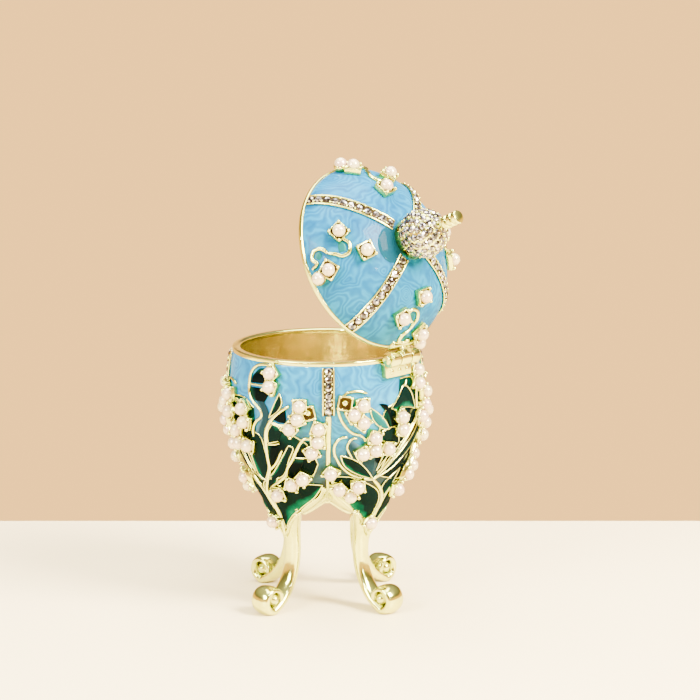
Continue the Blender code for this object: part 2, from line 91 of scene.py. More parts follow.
# Enamel cells as two edges. The first edge is the bright one.
CELLS = {
    "all": (
        ("gold", ((45, 28.4), (41, 28.2), (38, 27.2), (28, 24.6), (20, 22.9), (15, 22.1)),
         ((45, 25.2), (41, 24.75), (38, 24.2), (28, 22.8), (20, 22), (15, 21.8))),
        ("gold", ((-45, 28.4), (-41, 28.2), (-38, 26.6), (-28, 24.6), (-20, 22.9), (-15, 22.1)),
         ((-45, 25.2), (-41, 24.75), (-38, 24.2), (-28, 22.8), (-20, 22), (-15, 21.8))),
        ("teal", ((20.5, 47), (14.5, 45.4), (9.5, 43.6), (5.5, 41.4)),
         ((20.5, 47), (18, 44.2), (12.5, 42.2), (5.5, 41.4))),
        ("leaf", ((37.5, 36.6), (34, 34), (25, 32), (13, 30.5)),
         ((37.5, 36.6), (29, 35.6), (21, 33.6), (13, 30.5))),
        ("leaf", ((41.5, 31.6), (37, 27.6), (26, 24.4), (14, 21.6), (3, 18.2)),
         ((41.5, 31.6), (30, 31.4), (18, 29.8), (6, 27), (2.2, 22.6), (3, 18.2))),
        ("leaf", ((-41, 29.4), (-34, 26.4), (-22, 23.8), (-11, 21), (-3, 18.2)),
         ((-41, 29.4), (-28, 29.8), (-14, 29), (-3, 26.6), (-1.6, 22.4), (-3, 18.2))),
        ("leaf", ((-12, 31.8), (-4, 27.6), (2, 25.4)),
         ((-12, 31.8), (-3, 30.4), (4, 28.6), (2, 25.4))),
    ),
    "side": (
        ("black", ((44, 38), (40, 43.6), (28, 46.8), (14, 47.8), (3, 46)),
         ((44, 38), (40, 33.4), (28, 32), (12, 31), (3, 29.8))),
        ("black", ((-8, 43.6), (-16, 42.4), (-24, 41), (-33, 38.8), (-38.5, 34.6)),
         ((-3, 29.8), (-12, 28.9), (-24, 29.2), (-33, 31), (-38.5, 34.6))),
        ("dark", ((-8, 54.8), (-1, 54.6), (4.6, 53)), ((-8, 51.6), (-1, 51.5), (5.6, 51.3))),
        ("dark", ((6, 50.4), (5.6, 49), (2, 47.6)), ((-8, 50.6), (-8.4, 49.4), (-5.4, 47.6))),
        ("grey", ((2, 47.8), (-1, 46.6), (-3, 45), (-1, 42.6), (3, 40.8)),
         ((-5, 47.8), (-8.4, 45.6), (-7.6, 43.4), (-5.6, 41.2), (-3.2, 38))),
        ("leaf", ((12, 38.5), (10.5, 34.5), (7, 31), (1, 29.8)),
         ((3.5, 40.6), (-1.5, 39.6), (-3.6, 36), (-3.8, 32.8), (1, 29.8))),
        ("leaf", ((30, 40), (24, 36.4), (17, 33.4), (10, 31.2)),
         ((30, 40), (22, 39), (15, 35.8), (10, 31.2))),
        ("leaf", ((-15.6, 49.8), (-12, 47.2), (-8.6, 44.4)),
         ((-15.6, 49.8), (-17.4, 48), (-14.6, 46), (-8.6, 44.4))),
        ("dark", ((-10.4, 44.2), (-14, 45.6), (-19.6, 46.8)), ((-10.4, 44.2), (-15, 43.6), (-19.8, 43.6))),
        ("leaf", ((-18.8, 42.6), (-15, 42.8), (-10.6, 43)),
         ((-14, 39.4), (-10, 39), (-6.6, 38.8), (-7, 41.2), (-10.6, 43))),
        ("dark", ((-6, 33), (-5.4, 35.5), (-6, 37.8)), ((-6, 33), (-10.8, 35.2), (-14, 38.2))),
        ("leaf", ((-2, 30.4), (-8, 32.2), (-14, 35), (-20.5, 38.6)),
         ((-2, 30.4), (-9, 30.6), (-15.6, 32), (-20, 35.4), (-23.4, 38), (-20.5, 38.6))),
        ("dark", ((-26.4, 37.4), (-29.6, 39.4), (-33.6, 39.8)),
         ((-25.6, 36.4), (-30, 36.4), (-33.8, 36.6))),
        ("dark", ((-19, 33.6), (-22.4, 35.4), (-29.4, 35.6)), ((-17.6, 31.8), (-22, 31.8), (-26.6, 32.4))),
        ("leaf", ((41.5, 44.6), (30, 42.2), (20, 38.8), (12, 37.4)),
         ((41.5, 44.6), (36.5, 40.2), (26, 36.8), (12, 37.4))),
    ),
    "hinge": (
        ("black", ((3, 47), (10, 45.6), (13, 42), (18.5, 36)),
         ((-4, 46.4), (-3, 41), (3, 37), (8, 33))),
        ("black", ((-3, 52), (-9, 52), (-18, 51.2), (-30, 48), (-40, 43.6), (-43.5, 38)),
         ((8, 31), (-2, 30), (-14, 29.2), (-26, 29.6), (-38, 32), (-43.5, 38))),
        ("leaf", ((5, 46), (0, 45.4), (-7, 45.6), (-13, 45.2), (-19.5, 44.4)),
         ((5, 46), (-1, 48.4), (-6.5, 50.4), (-14, 48.4), (-19.5, 44.4))),
        ("dark", ((14, 47.4), (9, 45.2), (5.5, 42.6), (2.4, 40.6)),
         ((14, 47.4), (7.6, 46.8), (4.2, 44.2), (2.4, 40.6))),
        ("leaf", ((14.5, 40.8), (9.4, 38.2), (3, 37.4), (-4, 38)),
         ((14.5, 40.8), (5, 41.8), (-1, 41.4), (-4, 38))),
        ("leaf", ((-41.5, 46.4), (-39.5, 42), (-34, 37.6), (-17, 35.2), (-3, 32.6), (12, 30.6)),
         ((-41.5, 46.4), (-33, 42.6), (-24, 39.4), (-12, 36.6), (-1, 34), (12, 30.6))),
        ("leaf", ((-22, 42.6), (-12, 39.4), (0, 35.6), (11, 31.8)),
         ((-22, 42.6), (-11, 37.4), (0, 34.6), (11, 31.8))),
        ("leaf", ((-4, 36.4), (3.4, 37.2), (8.6, 35.4), (11.8, 32.4)),
         ((-4, 36.4), (2.8, 35.8), (8, 34.2), (11.8, 32.4))),
        ("leaf", ((-24, 51), (-27, 47), (-23, 44.2)), ((-24, 51), (-21.2, 47.6), (-23, 44.2))),
        ("grey", ((33, 40.6), (27, 39), (20, 37.4), (14, 36)),
         ((34, 35.8), (27, 34.8), (20, 33), (14, 31.2))),
    ),
}

# Raised gold lines as thickness and points. They part the enamel colours.
STEMS = {
    "all": (
        (0.42, ((13, 30.4), (8, 28.8), (3.6, 27), (1, 25), (0, 22.6), (0, 19.5), (0, 16))),
        (0.30, ((34, 40.8), (38, 40.6), (41, 39.2), (41.4, 37.4), (39.4, 35.6), (35.8, 33.8), (30, 32.2),
                (22, 31), (13, 30.4))),
        (0.30, ((22, 50), (28, 50.6), (35, 50.2), (39.6, 47.8), (37.4, 44.4), (31.6, 41.8), (25, 40.8),
                (22, 39.4))),
        (0.36, ((41.5, 30.2), (38, 27.2), (28, 24.6), (17, 22), (9, 19.6), (0, 16.6),
                (-9, 19.6), (-17, 22), (-28, 24.6), (-38, 26.6), (-41.5, 29))),
        (0.26, ((30, 36), (33.6, 38.4), (31.4, 40.2), (28, 40.4))),
    ),
    "side": (
        (0.33, ((-12.5, 55.2), (-6, 55.6), (1, 55.2), (5.6, 53.6), (6.8, 51.4), (6.6, 49.2), (2.6, 47.2),
                (-2.6, 45.8), (-3.2, 44.4), (1.4, 43), (4.4, 41.2), (4.8, 39.6))),
        (0.23, ((6.6, 51), (-1, 51.1), (-9, 51.2))),
        (0.38, ((-22, 47.4), (-15.6, 45.8), (-10, 43.8), (-6, 41.2), (-5, 38.4), (-4.8, 35.4), (-5, 32.6),
                (-2, 30.2), (1, 28), (1.6, 25.6))),
        (0.23, ((-9.8, 43.6), (-15, 43.1), (-20.4, 43.1))),
        (0.23, ((-5.4, 38.3), (-10, 38.5), (-14.8, 38.9))),
        (0.30, ((-5, 32.4), (-11, 34.4), (-16, 37.4))),
        (0.38, ((-34.6, 40.4), (-30, 40.2), (-25.4, 37.6), (-22.6, 35.6), (-18.4, 33.4), (-16.4, 31.6),
                (-10.6, 30), (-4, 28.4), (1.6, 25.8))),
        (0.23, ((-24.4, 36), (-29, 36), (-33, 36.2))),
        (0.23, ((-16.6, 31.2), (-22, 31.2), (-27.4, 31.6))),
    ),
    "hinge": (
        (0.34, ((-23.4, 51.6), (-20.4, 48.4), (-21, 45.2), (-23, 42.8), (-12, 38.6), (0, 34.8),
                (13, 30.4))),
        (0.30, ((-8.6, 51.4), (-7, 50.4), (-5.4, 50.6))),
        (0.30, ((-41.5, 46.6), (-42, 50), (-36, 52), (-30, 51.4))),
    ),
}

# The lid's hooked lines, and the small teal cells that they hold.
LID_STEMS = (
    (0.42, ((13, 8), (9.4, 8.7), (4.6, 8.7), (0.6, 8.3), (0, 7.4), (2.6, 6.6), (4.4, 5.6))),
    (0.42, ((4.6, 5.5), (8.6, 4.6), (8.4, 3.2), (3.8, 2.5), (0.4, 3.2), (-2, 1.9))),
)
LID_CELLS = {
    "all": (
        ("teal", ((12, 7.6), (8, 8.2), (3, 8.1)), ((12, 7.6), (8, 7.2), (3, 7.2))),
        ("teal", ((6.8, 4.4), (6.6, 3.6), (4, 3.2)), ((6.8, 4.4), (4, 4.4), (2, 3.8))),
    ),
    # On two panels, the deep band round the crown's foot is painted shade: it stands for the crown's shadow
    # and reflection.
    "side": (
        ("deep", ((38, 12.35), (22, 11.9), (0, 11.5), (-24, 11.6), (-40, 12.2)),
         ((40, 12.62), (20, 12.62), (0, 12.62), (-20, 12.62), (-40, 12.62))),
    ),
}

# Degrees from one leg to the next, and where the four valleys between them are.
QUARTER = 90.0
VALLEYS = (45.0, 135.0, 225.0, 315.0)

# Where the egg's axis stands along Y, the power that gives the dome its full shoulders, a height
# that no leg reaches, and a radius outside of everything.
AXIS_Y = -7.3
DOME_POWER = 1.75
LEG_TOP = 27.0
FAR_OUT = 40.0

# Half the gap between the closed rims, how far bowl and lid reach into the bands on their rims,
# the top of the strips in the valleys, and the length of the bowl's rows of stones.
RIM_GAP = 0.15
BAND_OVERLAP = 0.5
STRIP_TOP = 45.4
BOWL_ROW = 10.1

# Height of a pearl's and a stone's middle over the metal, and from one touching pearl to the next.
PEARL_LIFT = 1.6
BOWL_PEARL_LIFT = 1.62
PEARL_PITCH = 2.9
STONE_LIFT = 0.62

# Half width of the square cups, and how those on a panel of the lid are turned.
BOWL_CUP_HALF = 1.6
LID_CUP_HALF = 1.75
TRAY_SPINS = (38.0, 8.0, 42.0)

# From the top of the dome to the middle of the crown's ball, and the height of its knob.
CROWN_RISE = 3.8
KNOB_HEIGHT = 4.42

# Heights in metres between which the bowl's blue turns to teal, and the teal to nearly black.
TEAL_STARTS = 0.0535
TEAL_ENDS = 0.043
DARK_ENDS = 0.036

# Cell enamels as a name, the bright edge and the dark middle.
ENAMELS = {
    "black": ("dark green ground enamel", "#03231b", "#020b09"),
    "dark": ("black leaf enamel", "#06281f", "#020706"),
    "grey": ("grey leaf enamel", "#35525f", "#14282e"),
    "teal": ("teal enamel", "#14695f", "#0d4c4a"),
    # deep is no enamel of the box: a dark teal band that paints the crown's shadow and reflection on the lid.
    "deep": ("painted crown shadow", "#0a3a49", "#0a3340"),
}

# How high the black ground lies, as a share of the height of the leaves on it.
GROUND_SHARE = 0.3125

# Painted reflections on a stone's facets, from nearly black to white, as places on a ramp. The first two are
# its ends.
PAINTED_FLASHES = ((0.3, "#241e1c"), (0.95, "#eee8e1"), (0.55, "#5c534d"), (0.75, "#958c86"))

# The camera, in degrees and metres: round the egg from -Y, over the horizon, away from it, the
# height that it looks at, how far to its right that is, and its lens in millimetres.
CAMERA_AZIMUTH = 132.7
CAMERA_ELEVATION = 11.08
CAMERA_DISTANCE = 0.6
CAMERA_AIM = 0.05561
CAMERA_SHIFT = 0.0054
CAMERA_LENS = 141.57

# The table's size in metres, and how far its far edge is behind the egg's axis.
TABLE_SIZE = (1.6, 1.2, 0.03)
TABLE_EDGE = 0.0685

# Light from the surroundings over the backdrop (straight up, low, and between), and its strength.
SKY_TONES = ((1.0, (0.4, 0.37, 0.34)), (0.30, (0.07, 0.055, 0.045)), (0.62, (0.2, 0.18, 0.16)))
SKY_STRENGTH = 3.4

# Lamps as name, place in metres (to the camera's right, towards it, up), size, watts and colour.
# They look at the egg's axis, at the height that is named last.
LAMPS = (
    ("window light", (0.42, 0.26, 0.36), (0.22, 0.26), 36.0, "#fff6ea"),
    ("fill light", (-0.42, 0.42, 0.22), (0.24, 0.2), 12.0, "#ffffff"),
    ("glint 1", (0.5, 0.5, 0.1), (0.035, 0.035), 1.6, "#ffffff"),
    ("glint 2", (-0.25, 0.6, 0.16), (0.035, 0.035), 1.6, "#ffffff"),
    ("glint 3", (0.1, 0.5, 0.42), (0.035, 0.035), 1.6, "#ffffff"),
    ("glint 4", (-0.5, 0.25, 0.34), (0.035, 0.035), 1.6, "#ffffff"),
    ("top light", (0.0, -0.05, 0.6), (0.5, 0.5), 17.0, "#fffaf2"),
)
LAMP_AIM = 0.045


def hex_colour(code):
    """An sRGB hex value as the linear colour that shaders take."""
    parts = [int(code[k:k + 2], 16) / 255 for k in (1, 3, 5)]
    return tuple(p / 12.92 if p <= 0.04045 else ((p + 0.055) / 1.055) ** 2.4 for p in parts)


def size(name, millimetres, description):
    """A length in the panel."""
    return FloatProperty(name=name, description=description, default=millimetres * MM, unit="LENGTH")


def tint(name, default, description):
    """A colour in the panel."""
    return FloatVectorProperty(name=name, description=description, default=default, subtype="COLOR",
                               min=0, max=1)


class EggShape(bpy.types.PropertyGroup):
    """Sizes of the egg box, as its solids have them."""
    axis_y: size("Egg's axis", AXIS_Y, "Where the egg's axis stands along Y")
    rim_radius: size("Rim radius", 20.0, "Outer radius of the bowl at its rim")
    rim_height: size("Rim height", 57.0, "Height of the plane between bowl and lid")
    belly_swell: size("Belly", 0.95, "How far the belly stands out from the rim")
    belly_height: size("Belly height", 46.5, "Height of the widest place of the bowl")
    petal_end_radius: size("Valley end", 5.75, "Radius between two legs where the petals end")
    petal_end_height: size("Petal end", 21.4, "Height of the petals' lower ends")
    lobe_swell: size("Lobe swell", 7.3, "How far a petal stands out over its leg")
    under_radius: size("Hollow radius", 11.7, "Radius of the hollow under the floor")
    under_top: size("Hollow top", 25.0, "Height of the hollow under the floor")
    floor_height: size("Floor", 26.6, "Height of the bowl's inner floor")
    wall: size("Wall", 1.4, "Thickness of the cast metal")
    dome_height: size("Lid height", 13.0, "Height of the lid's dome over its rim")
    open_angle: FloatProperty(name="Open", description="How far the lid stands open",
                              default=math.radians(65.3), subtype="ANGLE")
    hinge_y: size("Hinge", 22.3, "Distance of the hinge from the egg's axis")
    barrel_radius: size("Hinge barrel", 1.7, "Radius of the hinge's knuckles")
    barrel_length: size("Barrel length", 8.4, "Length of the hinge over its knuckles")
    crown_radius: size("Crown", 5.3, "Radius of the ball of stones")
    pearl_radius: size("Pearl", 1.36, "Radius of a pearl")
    stone_radius: size("Stone", 0.72, "Radius of a clear stone")
    ring_steps: IntProperty(name="Steps round", description="Faces round the bowl and the lid",
                            default=160, min=32)


class EggColours(bpy.types.PropertyGroup):
    """Colours of the egg box, matched to the photographed one."""
    sky: tint("Enamel", hex_colour("#005a86"), "Light blue enamel")
    sky_light: tint("Enamel swirl", hex_colour("#008ab6"), "Bright swirls in the blue enamel")
    sky_deep: tint("Enamel depth", hex_colour("#003f66"), "Deep places of the blue enamel")
    emerald: tint("Leaf edge", hex_colour("#00523a"), "Bright edge of a leaf")
    night: tint("Leaf", hex_colour("#04120f"), "Dark middle of a leaf")
    gold: tint("Gold", hex_colour("#e4e673"), "Pale gold plate")
    gold_inside: tint("Gold inside", hex_colour("#fff09c"), "Deeper gold inside the egg")
    pearl: tint("Pearl", hex_colour("#d6c68f"), "Cream pearls")
    table: tint("Table", hex_colour("#f3dfac"), "Pale floor")
    backdrop: tint("Backdrop", (0.73, 0.385, 0.105), "Warm light from behind the table")


# Shape

def read_shape():
    """The panel's lengths in millimetres, its angle in degrees and its count."""
    group = bpy.context.scene.egg_shape
    values = {}
    for name, prop in group.bl_rna.properties.items():
        if prop.type == "FLOAT":
            value = getattr(group, name)
            values[name] = math.degrees(value) if prop.unit == "ROTATION" else value / MM
        elif prop.type == "INT":
            values[name] = getattr(group, name)
    values["belly_radius"] = values["rim_radius"] + values["belly_swell"]
    return SimpleNamespace(**values)


# The sizes, the finishes and the finished legs, each kept once it is made.
CACHE = {}


def read_cached():
    """The sizes, read once for a build."""
    if "egg" not in CACHE:
        CACHE["egg"] = read_shape()
    return CACHE["egg"]


def egg_point(azimuth, radius, height):
    """A point round the egg's axis, in metres in the frame of the solids."""
    egg = read_cached()
    turn = math.radians(azimuth)
    return Vector((radius * math.sin(turn), egg.axis_y + radius * math.cos(turn), height)) * MM


def across_at(azimuth):
    """The way along the surface and level at an azimuth, one millimetre long."""
    return egg_point(azimuth + 90.0, 1.0, 0.0) - egg_point(azimuth, 0.0, 0.0)


def valley_radius(z):
    """Outer radius of the bowl between two legs."""
    egg = read_cached()
    low = z < egg.belly_height
    end_r = egg.petal_end_radius if low else egg.rim_radius
    end_z = egg.petal_end_height if low else egg.rim_height
    way = (z - egg.belly_height) / (end_z - egg.belly_height)
    return math.sqrt(max(0.01, egg.belly_radius ** 2 - (egg.belly_radius ** 2 - end_r ** 2) * way ** 2))


def lobe(azimuth, z):
    """How far a petal stands out of the round bowl."""
    egg = read_cached()
    fall = max(0.0, (egg.belly_height - z) / (egg.belly_height - egg.petal_end_height))
    return egg.lobe_swell * fall ** 3 * abs(math.cos(math.radians(2 * azimuth)))


def bowl_radius(azimuth, z):
    """Outer radius of the bowl with its petals."""
    return valley_radius(z) + lobe(azimuth, z)


def bowl_end(azimuth):
    """Where the bowl's outer surface ends below: at the petals' end or at the arch."""
    egg = read_cached()
    low, high = egg.petal_end_height, egg.belly_height
    if bowl_radius(azimuth, low) >= egg.under_radius:
        return low
    for _ in range(30):
        middle = (low + high) / 2
        if bowl_radius(azimuth, middle) < egg.under_radius:
            low = middle
        else:
            high = middle
    return high


def dome_rise(h, inset=0.0):
    """How far round its section the dome is at a height over the rim, from 0 to a quarter turn."""
    egg = read_cached()
    return math.asin(min(1.0, max(0.0, h) / (egg.dome_height - inset)) ** (DOME_POWER / 2))


def dome_level(turn, inset=0.0):
    """The height over the rim at a turn round the dome's section."""
    egg = read_cached()
    return (egg.dome_height - inset) * math.sin(turn) ** (2 / DOME_POWER)


def lid_turn():
    """The turn that opens the lid about the hinge."""
    egg = read_cached()
    hinge = Vector((0.0, egg.axis_y + egg.hinge_y, egg.rim_height)) * MM
    turn = Matrix.Rotation(-math.radians(egg.open_angle), 4, "X")
    return Matrix.Translation(hinge) @ turn @ Matrix.Translation(-hinge)


def body_radius(azimuth, z):
    """Outer radius of bowl and legs together, where a leg may stand out of the bowl."""
    egg = read_cached()
    radius = bowl_radius(azimuth, z) if z >= bowl_end(azimuth) - 0.001 else 0.0
    tree = CACHE.get("legs")
    if tree is not None and z < LEG_TOP:
        outside = egg_point(azimuth, FAR_OUT, z)
        inward = (egg_point(azimuth, 0.0, z) - outside).normalized()
        place = tree.ray_cast(outside, inward)[0]
        if place is not None:
            radius = max(radius, Vector((place.x / MM, place.y / MM - egg.axis_y)).length)
    return radius


def body_point(azimuth, z):
    """A point on the outside of bowl and legs."""
    return egg_point(azimuth, body_radius(azimuth, z), z)


def dome_point(azimuth, h):
    """A point on the outside of the closed lid, at a height over the rim."""
    egg = read_cached()
    return egg_point(azimuth, egg.rim_radius * math.cos(dome_rise(h)), egg.rim_height + h)


def normal_at(surface, azimuth, height):
    """Outward normal of a surface given by azimuth and height."""
    wide, tall = (0.6, 0.15) if surface is body_point else (0.05, 0.05)
    across = surface(azimuth + wide, height) - surface(azimuth - wide, height)
    up = surface(azimuth, height + tall) - surface(azimuth, height - tall)
    normal = up.cross(across)
    return normal.normalized() if normal.length > 1e-12 else Vector((0.0, 0.0, 1.0))


def lifted(surface, azimuth, height, lift):
    """A point over a surface."""
    return surface(azimuth, height) + normal_at(surface, azimuth, height) * lift * MM


def walk_chain(surface, chain, base, bottom, top):
    """Sites of touching pearls as (azimuth, height), as the solids have them."""
    offset, share, headings = chain
    azimuth, height = base + offset, bottom + (top - bottom) * share
    sites = [(azimuth, height)]
    for heading in headings:
        turn = math.radians(heading)
        centre = lifted(surface, azimuth, height, PEARL_LIFT)
        step = PEARL_PITCH
        for _ in range(6):
            reach = Vector((centre.x, centre.y - read_cached().axis_y * MM)).length / MM
            next_azimuth = azimuth + math.degrees(step * math.cos(turn) / reach)
            next_height = height + step * math.sin(turn)
            other = lifted(surface, next_azimuth, next_height, PEARL_LIFT)
            step *= PEARL_PITCH * MM / (other - centre).length
        azimuth, height = next_azimuth, next_height
        sites.append((azimuth, height))
    return sites


def curve_value(p, q, r, s, t):
    """A smooth curve's value at t of the way from q to r, with p before them and s after."""
    slope = r - p
    bend = 2 * p - 5 * q + 4 * r - s
    twist = 3 * q - p - 3 * r + s
    return 0.5 * (2 * q + slope * t + bend * t * t + twist * t ** 3)


def smooth_points(points, count):
    """Points along a smooth curve through the given ones."""
    ends = [points[0], *points, points[-1]]
    spans = len(points) - 1
    made = []
    for k in range(count):
        place = k / (count - 1) * spans
        i = min(int(place), spans - 1)
        made.append(tuple(curve_value(*run, place - i) for run in zip(*ends[i:i + 4])))
    return made


def height_along(heights, share):
    """The height at a share of the way through a list of heights."""
    place = share * (len(heights) - 1)
    i = min(int(place), len(heights) - 2)
    return heights[i] + (heights[i + 1] - heights[i]) * (place - i)


# Modelling

def move(x, y, z):
    """A move by millimetres."""
    return Matrix.Translation((x * MM, y * MM, z * MM))


def turn_upright(degrees):
    """A turn about an upright axis."""
    return Matrix.Rotation(math.radians(degrees), 4, "Z")


def stretch(x, y, z):
    """A stretch along each axis."""
    return Matrix.Diagonal((x, y, z, 1.0))


def select_only(obj):
    """Leaves one object selected and active."""
    bpy.ops.object.select_all(action="DESELECT")
    bpy.context.view_layer.objects.active = obj
    obj.select_set(True)


def start_piece(name, primitive, **settings):
    """A new primitive with nothing else selected."""
    bpy.ops.object.select_all(action="DESELECT")
    primitive(**settings)
    obj = bpy.context.object
    obj.name = name
    obj.data.name = name
    return obj


def start_ball(name, radius, segments, rings):
    """A round ball."""
    return start_piece(name, bpy.ops.mesh.primitive_uv_sphere_add, segments=segments, ring_count=rings,
                       radius=radius * MM)


def start_grain(radius):
    """A small ball of triangles."""
    return start_piece("grain", bpy.ops.mesh.primitive_ico_sphere_add, subdivisions=2, radius=radius * MM)


def edit(obj):
    """Opens a mesh for editing."""
    select_only(obj)
    bpy.ops.object.mode_set(mode="EDIT")
    return bmesh.from_edit_mesh(obj.data)


def leave(obj):
    """Closes a mesh that was edited."""
    bmesh.update_edit_mesh(obj.data)
    bpy.ops.object.mode_set(mode="OBJECT")


def apply_modifier(obj, kind, **settings):
    """Adds a modifier and applies it."""
    select_only(obj)
    modifier = obj.modifiers.new(kind.title(), kind)
    for name, value in settings.items():
        setattr(modifier, name, value)
    bpy.ops.object.modifier_apply(modifier=modifier.name)


def ease_edges(obj, width, segments=2, **settings):
    """Bevels the edges that stand at an angle."""
    apply_modifier(obj, "BEVEL", width=width * MM, segments=segments, limit_method="ANGLE", **settings)


def tidy_mesh(obj, merge=0.002):
    """Merges doubles and turns the faces outwards."""
    edit(obj)
    bpy.ops.mesh.select_all(action="SELECT")
    bpy.ops.mesh.remove_doubles(threshold=merge * MM)
    bpy.ops.mesh.normals_make_consistent(inside=False)
    leave(obj)


def shade(obj, angle):
    """Smooth shading, with sharp edges from an angle on."""
    select_only(obj)
    bpy.ops.object.shade_smooth_by_angle(angle=math.radians(angle))


def wrapped_sheet(name, columns, rows, place):
    """A grid whose corners are moved to place(u, v), with u and v from 0 to 1."""
    obj = start_piece(name, bpy.ops.mesh.primitive_grid_add, x_subdivisions=columns,
                      y_subdivisions=rows, size=2, calc_uvs=True)
    bm = edit(obj)
    for vert in bm.verts:
        vert.co = place((vert.co.x + 1) / 2, (vert.co.y + 1) / 2)
    leave(obj)
    return obj


def turned(name, profile, steps, closed=False, centre_y=0.0):
    """A profile of (radius, height), spun round an upright axis."""
    obj = start_piece(name, bpy.ops.mesh.primitive_circle_add, vertices=len(profile), fill_type="NOTHING")
    bm = edit(obj)
    bm.verts.ensure_lookup_table()
    for vert, (radius, height) in zip(bm.verts, profile):
        vert.co = Vector((radius, centre_y, height)) * MM
    if not closed:
        bm.edges.remove(bm.edges.get((bm.verts[len(profile) - 1], bm.verts[0])))
    bmesh.update_edit_mesh(obj.data)
    bpy.ops.mesh.select_all(action="SELECT")
    bpy.ops.mesh.spin(steps=steps, angle=2 * math.pi, center=(0.0, centre_y * MM, 0.0), axis=(0, 0, 1))
    leave(obj)
    tidy_mesh(obj, 0.001)
    return obj


def drawn_out(name, rings):
    """A closed bar: one outline, extruded to each ring in turn."""
    obj = start_piece(name, bpy.ops.mesh.primitive_circle_add, vertices=len(rings[0]), fill_type="NGON")
    bm = edit(obj)
    place = bm.verts.layers.int.new("place")
    bm.verts.ensure_lookup_table()
    for k, vert in enumerate(bm.verts):
        vert[place] = k
        vert.co = rings[0][k]
    bmesh.update_edit_mesh(obj.data)
    bpy.ops.mesh.select_all(action="SELECT")
    for ring in rings[1:]:
        bpy.ops.mesh.extrude_region_move()
        bm = bmesh.from_edit_mesh(obj.data)
        place = bm.verts.layers.int["place"]
        for vert in bm.verts:
            if vert.select:
                vert.co = ring[vert[place]]
        bmesh.update_edit_mesh(obj.data)
    leave(obj)
    tidy_mesh(obj, 0.001)
    return obj


def laid_wires(name, lines):
    """Round wires through points, with thin ends. Each line is (radius, points in metres)."""
    data = bpy.data.curves.new(name, "CURVE")
    data.dimensions = "3D"
    data.bevel_depth = 1.0
    data.bevel_resolution = 2
    data.use_fill_caps = True
    for radius, points in lines:
        spline = data.splines.new("POLY")
        spline.points.add(len(points) - 1)
        for k, (spot, point) in enumerate(zip(spline.points, points)):
            spot.co = (*point, 1.0)
            from_end = min(k, len(points) - 1 - k)
            spot.radius = radius * MM * min(1.0, 0.62 + 0.2 * from_end)
    obj = bpy.data.objects.new(name, data)
    bpy.context.scene.collection.objects.link(obj)
    select_only(obj)
    bpy.ops.object.convert(target="MESH")
    obj = bpy.context.object
    obj.name = name
    return obj


def joined(name, pieces):
    """Several objects as one."""
    bpy.ops.object.select_all(action="DESELECT")
    for piece in pieces:
        piece.select_set(True)
    bpy.context.view_layer.objects.active = pieces[0]
    if len(pieces) > 1:
        bpy.ops.object.join()
    pieces[0].name = name
    pieces[0].data.name = name
    return pieces[0]


def set_copies(name, master, places):
    """Copies of a master, one at each place, joined into one piece. The master goes."""
    copies = []
    for place in places:
        copy = master.copy()
        copy.data = master.data.copy()
        copy.data.transform(place)
        bpy.context.scene.collection.objects.link(copy)
        copies.append(copy)
    bpy.data.objects.remove(master)
    return joined(name, copies)


def seat(surface, azimuth, height, lift, spin=0.0):
    """Place of a small piece on a surface: its Z along the normal, turned by spin."""
    normal = normal_at(surface, azimuth, height)
    spot = surface(azimuth, height) + normal * lift * MM
    up = Vector((0, 0, 1)) - normal * normal.z
    up = up.normalized() if up.length > 0.05 else Vector((0, 1, 0))
    side = up.cross(normal).normalized()
    turn = Matrix((side, normal.cross(side), normal)).transposed().to_4x4()
    return Matrix.Translation(spot) @ turn @ turn_upright(spin)


def finish_piece(obj, materials, body, angle):
    """Gives a piece its finishes, shading and body. The lid's pieces are turned open first."""
    if body == "lid":
        obj.data.transform(lid_turn())
    indices = [polygon.material_index if len(materials) > 1 else 0 for polygon in obj.data.polygons]
    obj.data.materials.clear()
    for material in materials:
        obj.data.materials.append(material)
    obj.data.polygons.foreach_set("material_index", indices)
    shade(obj, angle)
    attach(obj, body)


# Finishes

def fill_inputs(tree, node, inputs):
    """Sets a node's inputs to values, or links them to other nodes' outputs."""
    for name, value in inputs.items():
        if isinstance(value, bpy.types.NodeSocket):
            tree.links.new(value, node.inputs[name])
        else:
            node.inputs[name].default_value = value


def add_node(tree, kind, inputs=None, stops=None, **settings):
    """Adds a node with its settings, its values or links, and a ramp's stops."""
    node = tree.nodes.new(kind)
    for name, value in settings.items():
        setattr(node, name, value)
    fill_inputs(tree, node, inputs or {})
    for k, (place, colour) in enumerate(stops or ()):
        elements = node.color_ramp.elements
        spot = elements[k] if k < 2 else elements.new(place)
        spot.position = place
        spot.color = (*colour, 1.0)
    return node


def noise(tree, where, scale, detail, **inputs):
    """The outputs of smooth noise in space."""
    values = {"Vector": where, "Scale": scale, "Detail": detail, **inputs}
    return add_node(tree, "ShaderNodeTexNoise", values).outputs


def worked_out(tree, operation, *values):
    """A sum, product or other result of sockets and numbers."""
    return add_node(tree, "ShaderNodeMath", dict(enumerate(values)), operation=operation).outputs[0]


def fallen(tree, value, start, end):
    """From 0 where a value is at its start to 1 at its end."""
    values = {"Value": value, "From Min": start, "From Max": end}
    return add_node(tree, "ShaderNodeMapRange", values).outputs[0]


def mixed(tree, share, one, two, kind="MIX"):
    """Two colours mixed."""
    values = {"Fac": share, "Color1": one, "Color2": two}
    return add_node(tree, "ShaderNodeMixRGB", values, blend_type=kind).outputs[0]


def ramped(tree, factor, *stops):
    """A factor turned into colours. The first two stops are the ends."""
    return add_node(tree, "ShaderNodeValToRGB", {"Fac": factor}, stops=stops).outputs["Color"]


def bumped(tree, height, strength, distance):
    """A surface normal moved by a height."""
    values = {"Height": height, "Strength": strength, "Distance": distance}
    return add_node(tree, "ShaderNodeBump", values).outputs["Normal"]


def in_space(tree):
    """The place of each point in the object, in metres."""
    return add_node(tree, "ShaderNodeTexCoord").outputs["Object"]


